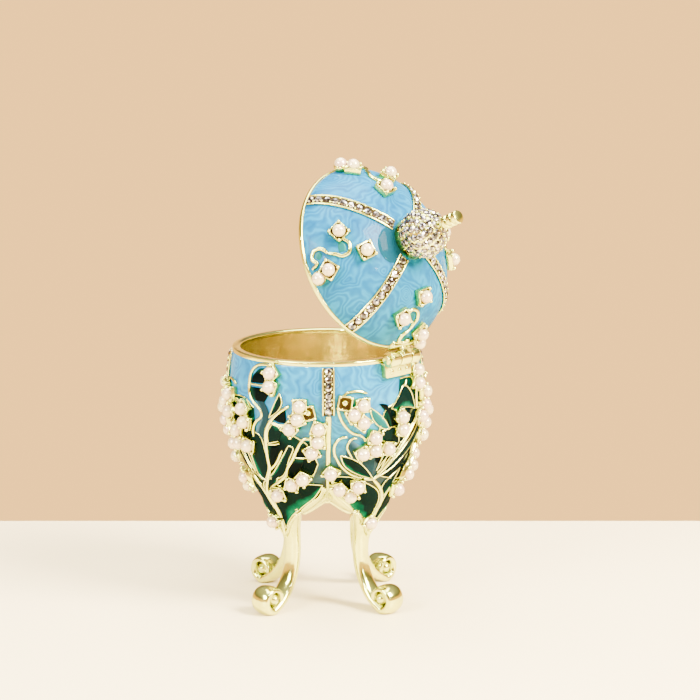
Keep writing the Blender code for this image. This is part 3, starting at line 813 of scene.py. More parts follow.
def new_finish(name):
    """A new material, its nodes and its shader."""
    material = bpy.data.materials.new(name)
    material.use_nodes = True
    tree = material.node_tree
    return material, tree, tree.nodes["Principled BSDF"]


def sky_enamel(name, gloss, depth, low_colour=None):
    """Pearl enamel, poured and hand stirred: faint pale arcs run a millimetre apart round the
    places where it was stirred, and the fired glass over them gives a sharp gloss. On the bowl it
    sinks to dark teal between the leaves."""
    colours = bpy.context.scene.egg_colours
    shades = (colours.sky, colours.sky_light, colours.sky_deep)
    # A depth under one darkens all three blues as painted shade; the lid's copy uses it because the lid gets
    # more light.
    sky, light, deep = (tuple(part * depth for part in one) for one in shades)
    paler = tuple(0.72 * a + 0.28 * b for a, b in zip(sky, light))
    material, tree, shader = new_finish(name)
    where = in_space(tree)
    drift = noise(tree, where, 150.0, 2.0, Roughness=0.5)["Color"]
    pushed = mixed(tree, 0.010, where, drift, "ADD")
    centres = add_node(tree, "ShaderNodeTexVoronoi", {"Vector": pushed, "Scale": 105.0, "Randomness": 1.0},
                       feature="SMOOTH_F1").outputs["Distance"]
    arcs = worked_out(tree, "SINE", worked_out(tree, "MULTIPLY", centres, 92.0))
    pools = noise(tree, pushed, 260.0, 4.0, Roughness=0.6, Distortion=0.7)["Fac"]
    clouds = noise(tree, where, 75.0, 2.0)["Fac"]
    calm = worked_out(tree, "MULTIPLY_ADD", pools, 0.6, 0.2)
    stirred = mixed(tree, 0.42, worked_out(tree, "MULTIPLY_ADD", arcs, 0.17, calm), clouds)
    colour = ramped(tree, stirred, (0.22, deep), (0.72, light), (0.38, sky), (0.52, paler))
    if low_colour is not None:
        height = add_node(tree, "ShaderNodeSeparateXYZ", {"Vector": where}).outputs["Z"]
        wander = worked_out(tree, "MULTIPLY_ADD", clouds, 0.016, height)
        sink = fallen(tree, wander, TEAL_STARTS, TEAL_ENDS)
        teal = ramped(tree, pools, (0.38, low_colour), (0.68, hex_colour("#1c4a5c")))
        dark = fallen(tree, wander, TEAL_ENDS, DARK_ENDS)
        under = mixed(tree, dark, teal, (*hex_colour("#021310"), 1.0))
        colour = mixed(tree, sink, colour, under)
    fill_inputs(tree, shader, {
        "Base Color": colour, "Normal": bumped(tree, pools, 0.1, 0.0002), "Roughness": 0.35,
        "Specular IOR Level": 0.04, "Coat Weight": gloss, "Coat Roughness": 0.06})
    return material


def leaf_enamel(name, edge, middle):
    """Transparent enamel over cast metal: it is nearly black where it is deep, and its own bright
    colour shows along one edge, where it is thin."""
    between = tuple(a * 0.45 + b * 0.55 for a, b in zip(edge, middle))
    material, tree, shader = new_finish(name)
    where = add_node(tree, "ShaderNodeTexCoord").outputs
    across = add_node(tree, "ShaderNodeSeparateXYZ", {"Vector": where["UV"]}).outputs["Y"]
    wander = noise(tree, where["Object"], 420.0, 3.0)["Fac"]
    pushed = worked_out(tree, "MULTIPLY_ADD", wander, 0.5, across)
    fill_inputs(tree, shader, {
        "Base Color": ramped(tree, pushed, (0.28, edge), (0.56, middle), (0.42, between)),
        "Roughness": 0.05, "Specular IOR Level": 0.0, "Coat Weight": 0.03, "Coat Roughness": 0.03})
    return material


def plated_metal(name, colour, roughness, wave=0.0):
    """Cast metal, polished and gold plated: a soft gloss, with faint casting ripples a millimetre
    or two apart and duller patches where it was handled."""
    material, tree, shader = new_finish(name)
    where = in_space(tree)
    patches = noise(tree, where, 330.0, 3.0, Roughness=0.6)["Fac"]
    tone = ramped(tree, patches, (0.3, tuple(part * 0.8 for part in colour)), (0.65, colour))
    limits = {"Value": patches, "To Min": roughness * 0.75, "To Max": roughness * 1.35}
    ripple = noise(tree, where, 520.0, 2.0)["Fac"]
    fill_inputs(tree, shader, {
        "Base Color": tone, "Roughness": add_node(tree, "ShaderNodeMapRange", limits).outputs[0],
        "Normal": bumped(tree, ripple, 0.18 + wave, 0.0003), "Metallic": 1.0})
    return material


def pearl_finish(name):
    """Nacre-coated bead: cream, with a satin depth, a pink cast in places and a clear gloss."""
    cream = tuple(bpy.context.scene.egg_colours.pearl)
    material, tree, shader = new_finish(name)
    cloud = noise(tree, in_space(tree), 380.0, 1.0)["Fac"]
    fill_inputs(tree, shader, {
        "Base Color": ramped(tree, cloud, (0.35, cream), (0.7, hex_colour("#cfae93"))),
        "Metallic": 0.3, "Roughness": 0.24, "Subsurface Weight": 0.06,
        "Subsurface Radius": (0.0012, 0.0009, 0.0007), "Subsurface Scale": 1.0,
        "Coat Weight": 0.8, "Coat Roughness": 0.08})
    return material


def stone_finish(name):
    """Foil-backed cut glass. Its flashes are painted reflections: random cells under half a millimetre
    wide are coloured white, grey and nearly black, so a stone looks like a cluster of flashes."""
    material, tree, shader = new_finish(name)
    facets = add_node(tree, "ShaderNodeTexVoronoi", {"Vector": in_space(tree), "Scale": 2300.0})
    grey = add_node(tree, "ShaderNodeSeparateColor", {"Color": facets.outputs["Color"]}).outputs["Red"]
    tones = [(place, hex_colour(code)) for place, code in PAINTED_FLASHES]
    fill_inputs(tree, shader, {
        "Base Color": ramped(tree, grey, *tones), "Metallic": 0.85, "Roughness": 0.08,
        "Coat Weight": 1.0, "Coat Roughness": 0.02})
    return material


def finishes():
    """All finishes of the box, made once."""
    if "finishes" not in CACHE:
        colours = bpy.context.scene.egg_colours
        made = {
            "bowl": sky_enamel("sky enamel on the bowl", 0.25, 1.0, hex_colour("#0a2d31")),
            # The lid's blue is the bowl's made darker by its depth, as painted shade for the stronger light
            # on the lid.
            "lid": sky_enamel("sky enamel on the lid with painted shade", 0.04, 0.66),
            "leaf": leaf_enamel("emerald leaf enamel", tuple(colours.emerald), tuple(colours.night)),
        }
        for key, (name, edge, middle) in ENAMELS.items():
            made[key] = leaf_enamel(name, hex_colour(edge), hex_colour(middle))
        made["gold"] = plated_metal("pale gold plate", tuple(colours.gold), 0.13)
        made["inside"] = plated_metal("deep gold plate", tuple(colours.gold_inside), 0.19, 0.15)
        # The shadow finish is gold darkened as painted shade, for the sunk floors of the cups and the beds
        # under the stones.
        made["shadow"] = plated_metal("gold with painted shade", hex_colour("#382a14"), 0.4)
        made["pearl"] = pearl_finish("cream pearl")
        made["stone"] = stone_finish("foil-backed cut glass")
        CACHE["finishes"] = SimpleNamespace(**made)
    return CACHE["finishes"]


# Bowl and legs

def leg_stations():
    """Centre line of a leg as (radius, height, half width, half thickness), from the bowl down."""
    egg = read_cached()
    top_z = egg.petal_end_height + 4.4
    knee_z = egg.petal_end_height + 0.2
    knee_r = bowl_radius(0.0, egg.petal_end_height) - 0.55
    shin_r, shin_z = 10.5, 11.6
    stations = [
        (bowl_radius(0.0, top_z) - 2.2, top_z, 4.4, 0.8),
        (knee_r + 1.5, knee_z + 2.2, 4.9, 1.3),
        (knee_r, knee_z, 4.2, 1.6),
        (shin_r + 0.9, knee_z - 3.2, 2.8, 1.55),
        (shin_r + 0.1, shin_z + 3.6, 2.0, 1.4),
        (shin_r, shin_z, 1.85, 1.35),
        (shin_r + 0.6, shin_z - 3.3, 1.85, 1.3),
        (shin_r + 2.1, shin_z - 6.4, 2.0, 1.2),
        (shin_r + 4.3, shin_z - 8.9, 2.3, 1.1),
    ]
    scroll_r, scroll_z, scroll_steps = 18.2, 3.1, 14
    for k in range(scroll_steps + 1):
        share = k / scroll_steps
        turn = math.radians(-98.0 + 285.0 * share)
        thick = 1.05 - 0.45 * share
        reach = 3.4 - 0.55 * share - thick
        stations.append((scroll_r + reach * math.cos(turn), scroll_z + reach * math.sin(turn), 2.5, thick))
    return stations


def leg_rings():
    """Rings of corners along a leg: a soft square with a low spine on its outer side."""
    stations = smooth_points(leg_stations(), 92)
    across = across_at(0.0)
    corners = 20
    rings = []
    for k, (r, z, half_w, half_t) in enumerate(stations):
        before = stations[max(k - 1, 0)]
        after = stations[min(k + 1, len(stations) - 1)]
        run = Vector((after[0] - before[0], after[1] - before[1])).normalized()
        ring = []
        for j in range(corners):
            turn = 2 * math.pi * (j + 0.5) / corners
            side = math.copysign(abs(math.cos(turn)) ** 0.72, math.cos(turn))
            depth = math.copysign(abs(math.sin(turn)) ** 0.8, math.sin(turn))
            if depth < 0:
                depth *= 1.0 + 0.22 * (1.0 - abs(side)) ** 2
            off = half_t * depth
            point = egg_point(0.0, r - run.y * off, max(0.0, z + run.x * off))
            ring.append(point + across * (half_w * side))
        rings.append(ring)
    return rings


class EGG_OT_legs(bpy.types.Operator):
    """Four scroll legs, drawn out along their centre line"""
    bl_idname = "egg.legs"
    bl_label = "Legs"

    def execute(self, context):
        # The legs are the first piece, so a build reads the panel's sizes here.
        CACHE.pop("egg", None)
        leg = drawn_out("leg_master", leg_rings())
        boss = start_ball("scroll_boss", 1.5, 24, 14)
        boss.data.transform(Matrix.Translation(egg_point(0.0, 18.0, 3.25)) @ stretch(1.75, 1.0, 1.0))
        boss.data.update()
        master = joined("leg_master", [leg, boss])
        axis = egg_point(0.0, 0.0, 0.0)
        places = [Matrix.Translation(axis) @ turn_upright(-QUARTER * k) @ Matrix.Translation(-axis)
                  for k in range(4)]
        legs = set_copies("scroll_legs", master, places)
        finish_piece(legs, [finishes().gold], "egg", 50.0)
        corners = [vert.co.copy() for vert in legs.data.vertices]
        faces = [tuple(polygon.vertices) for polygon in legs.data.polygons]
        CACHE["legs"] = BVHTree.FromPolygons(corners, faces)
        return {"FINISHED"}


class EGG_OT_bowl(bpy.types.Operator):
    """Enamelled bowl with its gold inside and the hollow under its floor"""
    bl_idname = "egg.bowl"
    bl_label = "Bowl"

    def execute(self, context):
        egg = read_cached()
        finish = finishes()
        top = egg.rim_height - BAND_OVERLAP
        under_side = egg.under_top - 0.8
        floor_edge = egg.floor_height + 1.2
        outer_rows, inner_rows, floor_rows, side_rows, top_rows = 44, 24, 5, 3, 4

        def cavity(azimuth, z):
            return valley_radius(z) + 0.6 * lobe(azimuth, z) - egg.wall

        def floor(azimuth, k):
            return cavity(azimuth, floor_edge) * 0.96 * k / floor_rows, egg.floor_height

        def floor_bend(azimuth, k):
            return cavity(azimuth, floor_edge) * 0.99, egg.floor_height + 0.4

        def inside(azimuth, k):
            z = floor_edge + (top - floor_edge) * (k / inner_rows)
            return cavity(azimuth, z), z

        def rim(azimuth, k):
            return egg.rim_radius - 1.0 + k * 0.95, top

        def outside(azimuth, k):
            z = top - 0.1 - (top - 0.1 - bowl_end(azimuth)) * (k / outer_rows) ** 0.92
            return bowl_radius(azimuth, z), z

        def under(azimuth, k):
            low = bowl_end(azimuth) + 0.02
            return egg.under_radius, low + (under_side - low) * k / side_rows

        def under_end(azimuth, k):
            return (egg.under_radius - 0.8) * (1 - k / top_rows), egg.under_top

        parts = ((floor, floor_rows), (floor_bend, 0), (inside, inner_rows), (rim, 1), (outside, outer_rows),
                 (under, side_rows), (under_end, top_rows))
        rows = [(part, k) for part, count in parts for k in range(count + 1)]
        rim_row = rows.index((rim, 0))
        first_outer = rows.index((outside, 0))
        last_outer = rows.index((outside, outer_rows))

        def place(u, v):
            azimuth = 360.0 * u
            part, k = rows[round(v * (len(rows) - 1))]
            radius, z = part(azimuth, k)
            return egg_point(azimuth, radius, z)

        bowl = wrapped_sheet("egg_bowl", egg.ring_steps, len(rows) - 1, place)
        for k, polygon in enumerate(bowl.data.polygons):
            row = k // egg.ring_steps
            enamelled = first_outer <= row < last_outer
            polygon.material_index = 0 if enamelled else (1 if row < rim_row else 2)
        tidy_mesh(bowl)
        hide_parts("body")
        finish_piece(bowl, [finish.bowl, finish.inside, finish.gold], "egg", 50.0)
        return {"FINISHED"}


def band_profile(inner, outer, low, high, edge):
    """A flat ring's section with rounded corners."""
    soft = edge * 0.3
    return [(inner, low + edge), (inner + edge, low), (outer - edge, low), (outer - soft, low + soft),
            (outer, low + edge), (outer, high - edge), (outer - soft, high - soft), (outer - edge, high),
            (inner + edge, high), (inner, high - edge)]


class EGG_OT_rims(bpy.types.Operator):
    """Gold mouldings on both rims, edges on the arches, and the strips down the bowl's valleys"""
    bl_idname = "egg.rims"
    bl_label = "Rims and strips"

    def execute(self, context):
        egg = read_cached()
        gold = [finishes().gold]
        r, z = egg.rim_radius, egg.rim_height
        bands = (("bowl_rim", "egg", z - 1.15, z - RIM_GAP), ("lid_rim", "lid", z + RIM_GAP, z + 1.15))
        for name, body, low, high in bands:
            section = band_profile(r - egg.wall - 0.12, r + 0.25, low, high, 0.2)
            finish_piece(turned(name, section, 160, True, egg.axis_y), gold, body, 60.0)

        strips = []
        for valley in VALLEYS:
            end = bowl_end(valley) + 0.1

            def place(u, v, valley=valley, end=end):
                height = end + (STRIP_TOP - end) * v
                half = 0.4 + 0.25 * v
                side = (u - 0.5) * 2
                azimuth = valley + math.degrees(side * half / bowl_radius(valley, height))
                return lifted(body_point, azimuth, height, 0.1 + 0.38 * (1 - abs(side) ** 3))

            strips.append(wrapped_sheet("valley_strip", 8, 30, place))
        edges = []
        half_steps = 18
        for valley in VALLEYS:
            azimuths = [valley + ARCH_HALF * (j / half_steps - 1) for j in range(2 * half_steps + 1)]
            feet = [(a, bowl_end(a) + 0.15) for a in azimuths]
            edges.append((0.34, [egg_point(a, bowl_radius(a, low) - 0.1, low) for a, low in feet]))
        finish_piece(laid_wires("arch_edges", edges), gold, "egg", 60.0)
        finish_piece(joined("valley_strips", strips), gold, "egg", 60.0)
        return {"FINISHED"}


# Ornament

def enamel_cell(name, surface, base, first, second, lift, rise):
    """A pool of enamel between two edges that lie on a surface, a little domed."""
    columns, rows = 22, 8
    one = smooth_points(first, columns + 1)
    two = smooth_points(second, columns + 1)

    def place(u, v):
        k = round(u * columns)
        azimuth = base + one[k][0] + (two[k][0] - one[k][0]) * v
        height = one[k][1] + (two[k][1] - one[k][1]) * v
        hump = (4 * v * (1 - v)) ** 0.5 * (4 * u * (1 - u)) ** 0.35
        return lifted(surface, azimuth, height, lift + rise * hump)

    return wrapped_sheet(name, columns, rows, place)


def surface_line(surface, base, points, lift):
    """A smooth line on a surface, with points about half a millimetre apart."""
    rough = [surface(base + offset, height) for offset, height in points]
    length = sum((b - a).length for a, b in zip(rough, rough[1:])) / MM
    count = max(6, int(length / 0.45))
    return [lifted(surface, base + offset, height, lift) for offset, height in smooth_points(points, count)]


def lay_cells(pattern, surface, base, cells, body, lift, rise):
    """Enamel cells, one piece for each colour. The black ground lies lower than the leaves on it."""
    sheets = {}
    for colour, first, second in cells:
        share = GROUND_SHARE if colour == "black" else 1.0
        cell = enamel_cell("cell", surface, base, first, second, lift * share, rise * share)
        sheets.setdefault(colour, []).append(cell)
    for colour, pools in sheets.items():
        finish_piece(joined(pattern.format(colour), pools), [getattr(finishes(), colour)], body, 60.0)


def lay_lines(name, surface, base, lines, body):
    """Gold lines on a surface, as one piece. Each is (radius, points, lift)."""
    wires = [(radius, surface_line(surface, base, points, lift)) for radius, points, lift in lines]
    finish_piece(laid_wires(name, wires), [finishes().gold], body, 60.0)


class EGG_OT_sprays(bpy.types.Operator):
    """Leaves of dark enamel between raised gold lines, one spray over each leg"""
    bl_idname = "egg.sprays"
    bl_label = "Leaf sprays"

    def execute(self, context):
        for leg in range(4):
            cells, lines = [], []
            for kind in ("all", "side" if leg % 2 else "hinge"):
                cells += CELLS[kind]
                lines += [(0.16, edge, 0.2) for colour, *edges in CELLS[kind] for edge in edges
                          if colour not in ("dark", "grey", "gold")]
                lines += [(radius, points, 0.28) for radius, points in STEMS[kind]]
            lay_cells(f"spray_{leg + 1}_{{}}", body_point, QUARTER * leg, cells, "egg", 0.16, 0.256)
            lay_lines(f"spray_{leg + 1}_lines", body_point, QUARTER * leg, lines, "egg")
        return {"FINISHED"}


def pearl_master():
    """A pearl with the flat that it sits on."""
    pearl = start_ball("pearl", read_cached().pearl_radius, 24, 14)
    edit(pearl)
    bpy.ops.mesh.select_all(action="SELECT")
    bpy.ops.mesh.bisect(plane_co=(0, 0, -1.1 * MM), plane_no=(0, 0, -1), use_fill=True, clear_outer=True)
    leave(pearl)
    return pearl


def round_cup_master():
    """A turned cup with a scalloped edge, for one pearl of each panel of the lid."""
    profile = [(0.0, -1.55), (1.2, -1.55), (1.5, -1.1), (1.56, -0.35), (1.5, -0.25), (1.38, -0.5),
               (1.2, -0.95), (0.0, -1.2)]
    cup = turned("round_cup", profile, 24)
    bm = edit(cup)
    for vert in bm.verts:
        radius = Vector((vert.co.x, vert.co.y)).length / MM
        if radius > 1.3 and vert.co.z > -0.8 * MM:
            vert.co.z += 0.22 * MM * math.cos(6 * math.atan2(vert.co.y, vert.co.x))
    leave(cup)
    return cup


def square_cup_master(half):
    """A square tray with a claw at each corner and a peg in its middle. Its sunk floor is painted shade."""
    gold, shadow = finishes().gold, finishes().shadow
    tray = start_piece("square_cup", bpy.ops.mesh.primitive_cube_add, size=1.0)
    tray.data.transform(move(0, 0, -0.9) @ stretch(2 * half * MM, 2 * half * MM, 1.3 * MM))
    bm = edit(tray)
    for face in bm.faces:
        face.select_set(face.normal.z > 0.9)
    bmesh.update_edit_mesh(tray.data)
    bpy.ops.mesh.inset(thickness=0.3 * MM)
    bpy.ops.mesh.extrude_region_move(TRANSFORM_OT_translate={"value": (0, 0, -0.75 * MM)})
    # The sunk floor takes the second finish: gold darkened as painted shade.
    for face in bmesh.from_edit_mesh(tray.data).faces:
        face.material_index = 1 if face.select else 0
    leave(tray)
    ease_edges(tray, 0.09)
    tray.data.materials.append(gold)
    tray.data.materials.append(shadow)
    claws = []
    for k in range(4):
        claw = start_ball("claw", 0.4, 12, 8)
        spot = move(half * math.sqrt(2) - 0.42, 0, -0.18)
        claw.data.transform(turn_upright(45.0 + QUARTER * k) @ spot @ stretch(1, 1, 1.25))
        claw.data.materials.append(gold)
        claws.append(claw)
    peg = start_piece("peg", bpy.ops.mesh.primitive_cone_add, vertices=14, radius1=0.8 * MM,
                      radius2=0.45 * MM, depth=0.6 * MM)
    peg.data.transform(move(0, 0, -0.7))
    ease_edges(peg, 0.1)
    peg.data.materials.append(gold)
    return joined("square_cup", [tray, peg, *claws])


class EGG_OT_bowl_pearls(bpy.types.Operator):
    """Pearls in square cups on the four sprays"""
    bl_idname = "egg.bowl_pearls"
    bl_label = "Pearls on the bowl"

    def execute(self, context):
        egg = read_cached()
        finish = finishes()
        for leg in range(4):
            base = QUARTER * leg
            sites = []
            for k, chain in enumerate(BODY_CHAINS):
                if leg % 2 and k in SIDE_STARTS:
                    chain = (*SIDE_STARTS[k], chain[2])
                sites += walk_chain(body_point, chain, base, egg.petal_end_height, egg.rim_height)
            sites += [(base + offset, height) for offset, height in LOOSE_PEARLS]
            places = [seat(body_point, a, z, BOWL_PEARL_LIFT) for a, z in sites]
            pearls = set_copies(f"bowl_pearls_{leg + 1}", pearl_master(), places)
            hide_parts(*[f"body_pearls_{leg + 1}_{k}" for k in range(1, len(BODY_CHAINS) + 1)])
            finish_piece(pearls, [finish.pearl], "egg", 50.0)
            cups = sites + [(base + offset, height) for offset, height in EMPTY_CUPS]
            if leg == 0:
                # The hinge leaf takes the room of the topmost cups here.
                cups = [(a, z) for a, z in cups if not (abs(a) < 15 and z > 50)]
            places = [seat(body_point, a, z, PEARL_LIFT, 23.0 * k % 90 - 45) for k, (a, z) in enumerate(cups)]
            trays = set_copies(f"bowl_cups_{leg + 1}", square_cup_master(BOWL_CUP_HALF), places)
            finish_piece(trays, [finish.gold, finish.shadow], "egg", 50.0)
        return {"FINISHED"}


# Lid

class EGG_OT_lid(bpy.types.Operator):
    """Enamelled dome with its gold inside"""
    bl_idname = "egg.lid"
    bl_label = "Lid"

    def execute(self, context):
        egg = read_cached()
        finish = finishes()
        outer_rows, inner_rows = 34, 26
        quarter = math.pi / 2
        outer_foot = dome_rise(BAND_OVERLAP)
        inner_foot = dome_rise(BAND_OVERLAP, egg.wall)
        outer = [outer_foot + (quarter - outer_foot) * k / outer_rows for k in range(outer_rows + 1)]
        inner = [quarter + (inner_foot - quarter) * k / inner_rows for k in range(inner_rows + 1)]
        rows = [(egg.rim_radius * math.cos(t), dome_level(t)) for t in outer]
        rows += [((egg.rim_radius - egg.wall) * math.cos(t), dome_level(t, egg.wall)) for t in inner]
        rows.append(rows[0])

        def place(u, v):
            radius, height = rows[round(v * (len(rows) - 1))]
            return egg_point(360.0 * u, max(radius, 0.0), egg.rim_height + height)

        lid = wrapped_sheet("egg_lid", egg.ring_steps, len(rows) - 1, place)
        for k, polygon in enumerate(lid.data.polygons):
            polygon.material_index = 0 if k // egg.ring_steps < outer_rows else 1
        tidy_mesh(lid)
        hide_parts("lid")
        finish_piece(lid, [finish.lid, finish.inside], "lid", 50.0)
        return {"FINISHED"}


class EGG_OT_lid_ornament(bpy.types.Operator):
    """Pearls in cups, hooked gold lines and small cells on the lid's four panels"""
    bl_idname = "egg.lid_ornament"
    bl_label = "Ornament on the lid"

    def execute(self, context):
        egg = read_cached()
        finish = finishes()
        for panel in range(4):
            base = QUARTER * panel
            sites = []
            for chain in LID_CHAINS:
                sites += walk_chain(dome_point, chain, base, 0.0, egg.dome_height)
            places = [seat(dome_point, a, h, PEARL_LIFT) for a, h in sites]
            pearls = set_copies(f"lid_pearls_{panel + 1}", pearl_master(), places)
            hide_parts(*[f"lid_pearls_{panel + 1}_{k}" for k in range(1, len(LID_CHAINS) + 1)])
            finish_piece(pearls, [finish.pearl], "lid", 50.0)
            cup = set_copies(f"lid_cup_{panel + 1}", round_cup_master(), places[:1])
            finish_piece(cup, [finish.gold], "lid", 50.0)
            places = [seat(dome_point, *site, PEARL_LIFT, spin) for site, spin in zip(sites[1:], TRAY_SPINS)]
            trays = set_copies(f"lid_trays_{panel + 1}", square_cup_master(LID_CUP_HALF), places)
            finish_piece(trays, [finish.gold, finish.shadow], "lid", 50.0)
            cells = LID_CELLS["all"] + (LID_CELLS["side"] if panel % 2 else ())
            lines = [(radius, points, 0.25) for radius, points in LID_STEMS]
            lay_cells(f"lid_{{}}_{panel + 1}", dome_point, base, cells, "lid", 0.06, 0.12)
            lay_lines(f"lid_lines_{panel + 1}", dome_point, base, lines, "lid")
        return {"FINISHED"}


# Stones

def stone_master(r):
    """A cut stone: a table, eight slanting facets and the bevel between them."""
    stone = start_piece("stone", bpy.ops.mesh.primitive_cone_add, vertices=8, radius1=r * MM,
                        radius2=r * 0.55 * MM, depth=0.5 * r * MM, end_fill_type="NGON")
    bm = edit(stone)
    for edge in bm.edges:
        edge.select_set(all(vert.co.z > 0 for vert in edge.verts))
    bmesh.update_edit_mesh(stone.data)
    bpy.ops.mesh.bevel(offset=0.2 * r * MM, segments=1)
    leave(stone)
    return stone


def stone_heights(surface, azimuth, heights, r):
    """Heights of stones that stand close together along a valley, and fill it."""
    steps = 400
    fine = [height_along(heights, k / steps) for k in range(steps + 1)]
    points = [surface(azimuth, h) for h in fine]
    total = sum((b - a).length for a, b in zip(points, points[1:])) / MM
    count = max(2, round(total / (2.04 * r)))
    pitch = total / count
    want = pitch / 2
    length = 0.0
    found = []
    for k in range(1, len(points)):
        length += (points[k] - points[k - 1]).length / MM
        if length >= want and len(found) < count:
            found.append(fine[k])
            want += pitch
    return found


def stone_row(name, node, body, surface, azimuth, heights, r):
    """A gold channel with stones, grains of gold that hold them, and a dark bed under the stones that is
    painted shade.
    """
    finish = finishes()
    across = across_at(azimuth)
    edge = r + 0.26
    steps = 40

    def strip_point(side, share, lift):
        h = height_along(heights, share)
        return surface(azimuth, h) + across * side + normal_at(surface, azimuth, h) * lift * MM

    rails = [(0.2, [strip_point(edge * side, k / steps, 0.3) for k in range(steps + 1)]) for side in (-1, 1)]
    channel = laid_wires(f"{name}_rails", rails)
    bed = wrapped_sheet(f"{name}_bed", 4, steps, lambda u, v: strip_point((u - 0.5) * 2 * edge, v, 0.22))
    levels = stone_heights(surface, azimuth, heights, r)
    places = [seat(surface, azimuth, h, STONE_LIFT, 22.5 * (k % 2)) for k, h in enumerate(levels)]
    stones = set_copies(name, stone_master(r), places)
    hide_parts(node)
    finish_piece(stones, [finish.stone], body, 10.0)
    places = []
    for a, b in zip(levels, levels[1:]):
        spot = seat(surface, azimuth, (a + b) / 2, STONE_LIFT)
        places += [Matrix.Translation(across * side) @ spot for side in (-0.86 * r, 0.86 * r)]
    grains = set_copies(f"{name}_grains", start_grain(0.24), places)
    finish_piece(joined(f"{name}_channel", [channel, grains]), [finish.gold], body, 60.0)
    # The bed under the stones is gold darkened as painted shade in the channel.
    finish_piece(bed, [finish.shadow], body, 60.0)


class EGG_OT_stones(bpy.types.Operator):
    """Rows of clear stones between the panels of the bowl and of the lid"""
    bl_idname = "egg.stones"
    bl_label = "Rows of stones"

    def execute(self, context):
        egg = read_cached()
        r = egg.stone_radius
        low, high = dome_rise(1.3), math.acos((egg.crown_radius - 0.3) / egg.rim_radius)
        lid_steps, bowl_steps = 12, 10
        lid_heights = [dome_level(low + (high - low) * k / lid_steps) for k in range(lid_steps + 1)]
        bowl_heights = [egg.rim_height - 1.3 - BOWL_ROW * k / bowl_steps for k in range(bowl_steps + 1)]
        for k, valley in enumerate(VALLEYS, 1):
            stone_row(f"bowl_stones_{k}", f"body_stone_row_{k}", "egg", body_point, valley, bowl_heights,
                      1.25 * r)
            stone_row(f"lid_stones_{k}", f"lid_stone_row_{k}", "lid", dome_point, valley, lid_heights,
                      1.22 * r)
        return {"FINISHED"}


def direction(azimuth, latitude):
    """A way out from the middle of a ball."""
    turn, up = math.radians(azimuth), math.radians(latitude)
    return Vector((math.cos(up) * math.sin(turn), math.cos(up) * math.cos(turn), math.sin(up)))


class EGG_OT_crown(bpy.types.Operator):
    """Ball of stones on the lid with its neck and ridged knob"""
    bl_idname = "egg.crown"
    bl_label = "Crown"

    def execute(self, context):
        egg = read_cached()
        finish = finishes()
        r = egg.crown_radius - 0.35
        dome_top = egg.rim_height + egg.dome_height
        middle = dome_top + CROWN_RISE
        foot_r = 4.4
        foot = egg.rim_height + dome_level(math.acos(foot_r / egg.rim_radius))
        profile = [(0.0, foot + 0.3), (foot_r, foot - 0.1), (foot_r + 0.1, foot + 0.3)]
        arc_steps = 18
        for k in range(arc_steps + 1):
            turn = math.radians(-30.0 + 112.0 * k / arc_steps)
            profile.append((r * math.cos(turn), middle + r * math.sin(turn)))
        neck = middle + egg.crown_radius + 1.1
        profile += [(0.75, middle + r + 0.1), (0.7, neck - 0.25), (1.1, neck)]
        ridges = 3
        ridge = KNOB_HEIGHT / ridges
        for k in range(ridges):
            low = neck + ridge * k
            high = low + ridge
            profile += [(1.3, low + 0.1), (1.45, low + 0.3), (1.45, high - 0.35), (1.3, high - 0.15)]
            profile.append((1.0, high) if k < ridges - 1 else (0.8, high - 0.02))
        profile.append((0.0, neck + KNOB_HEIGHT))
        core = turned("crown_core", profile, 48, centre_y=egg.axis_y)
        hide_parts("crown")
        finish_piece(core, [finish.gold], "lid", 35.0)

        centre = egg_point(0.0, 0.0, middle)
        rings, lowest, span = 8, -32.0, 106.0
        places, grains = [], []
        for ring in range(rings):
            latitude = lowest + span * ring / (rings - 1)
            around = max(3, round(2 * math.pi * r * math.cos(math.radians(latitude)) / 1.85))
            for k in range(around):
                out = direction(360.0 * (k + 0.5 * (ring % 2)) / around, latitude)
                face = out.to_track_quat("Z", "Y").to_matrix().to_4x4()
                spin = Matrix.Rotation(ring * 0.4 + k * 0.3, 4, "Z")
                places.append(Matrix.Translation(centre + out * (r + 0.12) * MM) @ face @ spin)
                between = direction(360.0 * (k + 0.5 + 0.5 * (ring % 2)) / around,
                                    latitude + span / (rings - 1) * 0.45)
                grains.append(Matrix.Translation(centre + between * (r + 0.12) * MM))
        stones = set_copies("crown_stones", stone_master(0.84), places)
        finish_piece(stones, [finish.stone], "lid", 10.0)
        beads = set_copies("crown_grains", start_grain(0.27), grains)
        finish_piece(beads, [finish.gold], "lid", 60.0)
        return {"FINISHED"}


# Hinge

def barrel_piece(name, start, end, radius, edge=0.12):
    """A round bar along the hinge with eased ends."""
    egg = read_cached()
    bar = start_piece(name, bpy.ops.mesh.primitive_cylinder_add, vertices=40, radius=radius * MM,
                      depth=(end - start) * MM)
    spot = Vector(((start + end) / 2, egg.axis_y + egg.hinge_y, egg.rim_height)) * MM
    bar.data.transform(Matrix.Translation(spot) @ Matrix.Rotation(math.pi / 2, 4, "Y"))
    ease_edges(bar, edge, 3, angle_limit=math.radians(50))
    return bar


def plate_piece(name, half_width, back, front, low, high, edge):
    """A flat block over the hinge's middle, with eased edges. Heights are from the rims' plane."""
    egg = read_cached()
    one = Vector((-half_width, egg.axis_y + back, egg.rim_height + low)) * MM
    two = Vector((half_width, egg.axis_y + front, egg.rim_height + high)) * MM
    block = start_piece(name, bpy.ops.mesh.primitive_cube_add, size=1.0)
    block.data.transform(Matrix.Translation((one + two) / 2) @ stretch(*(two - one)))
    ease_edges(block, edge, 3)
    return block


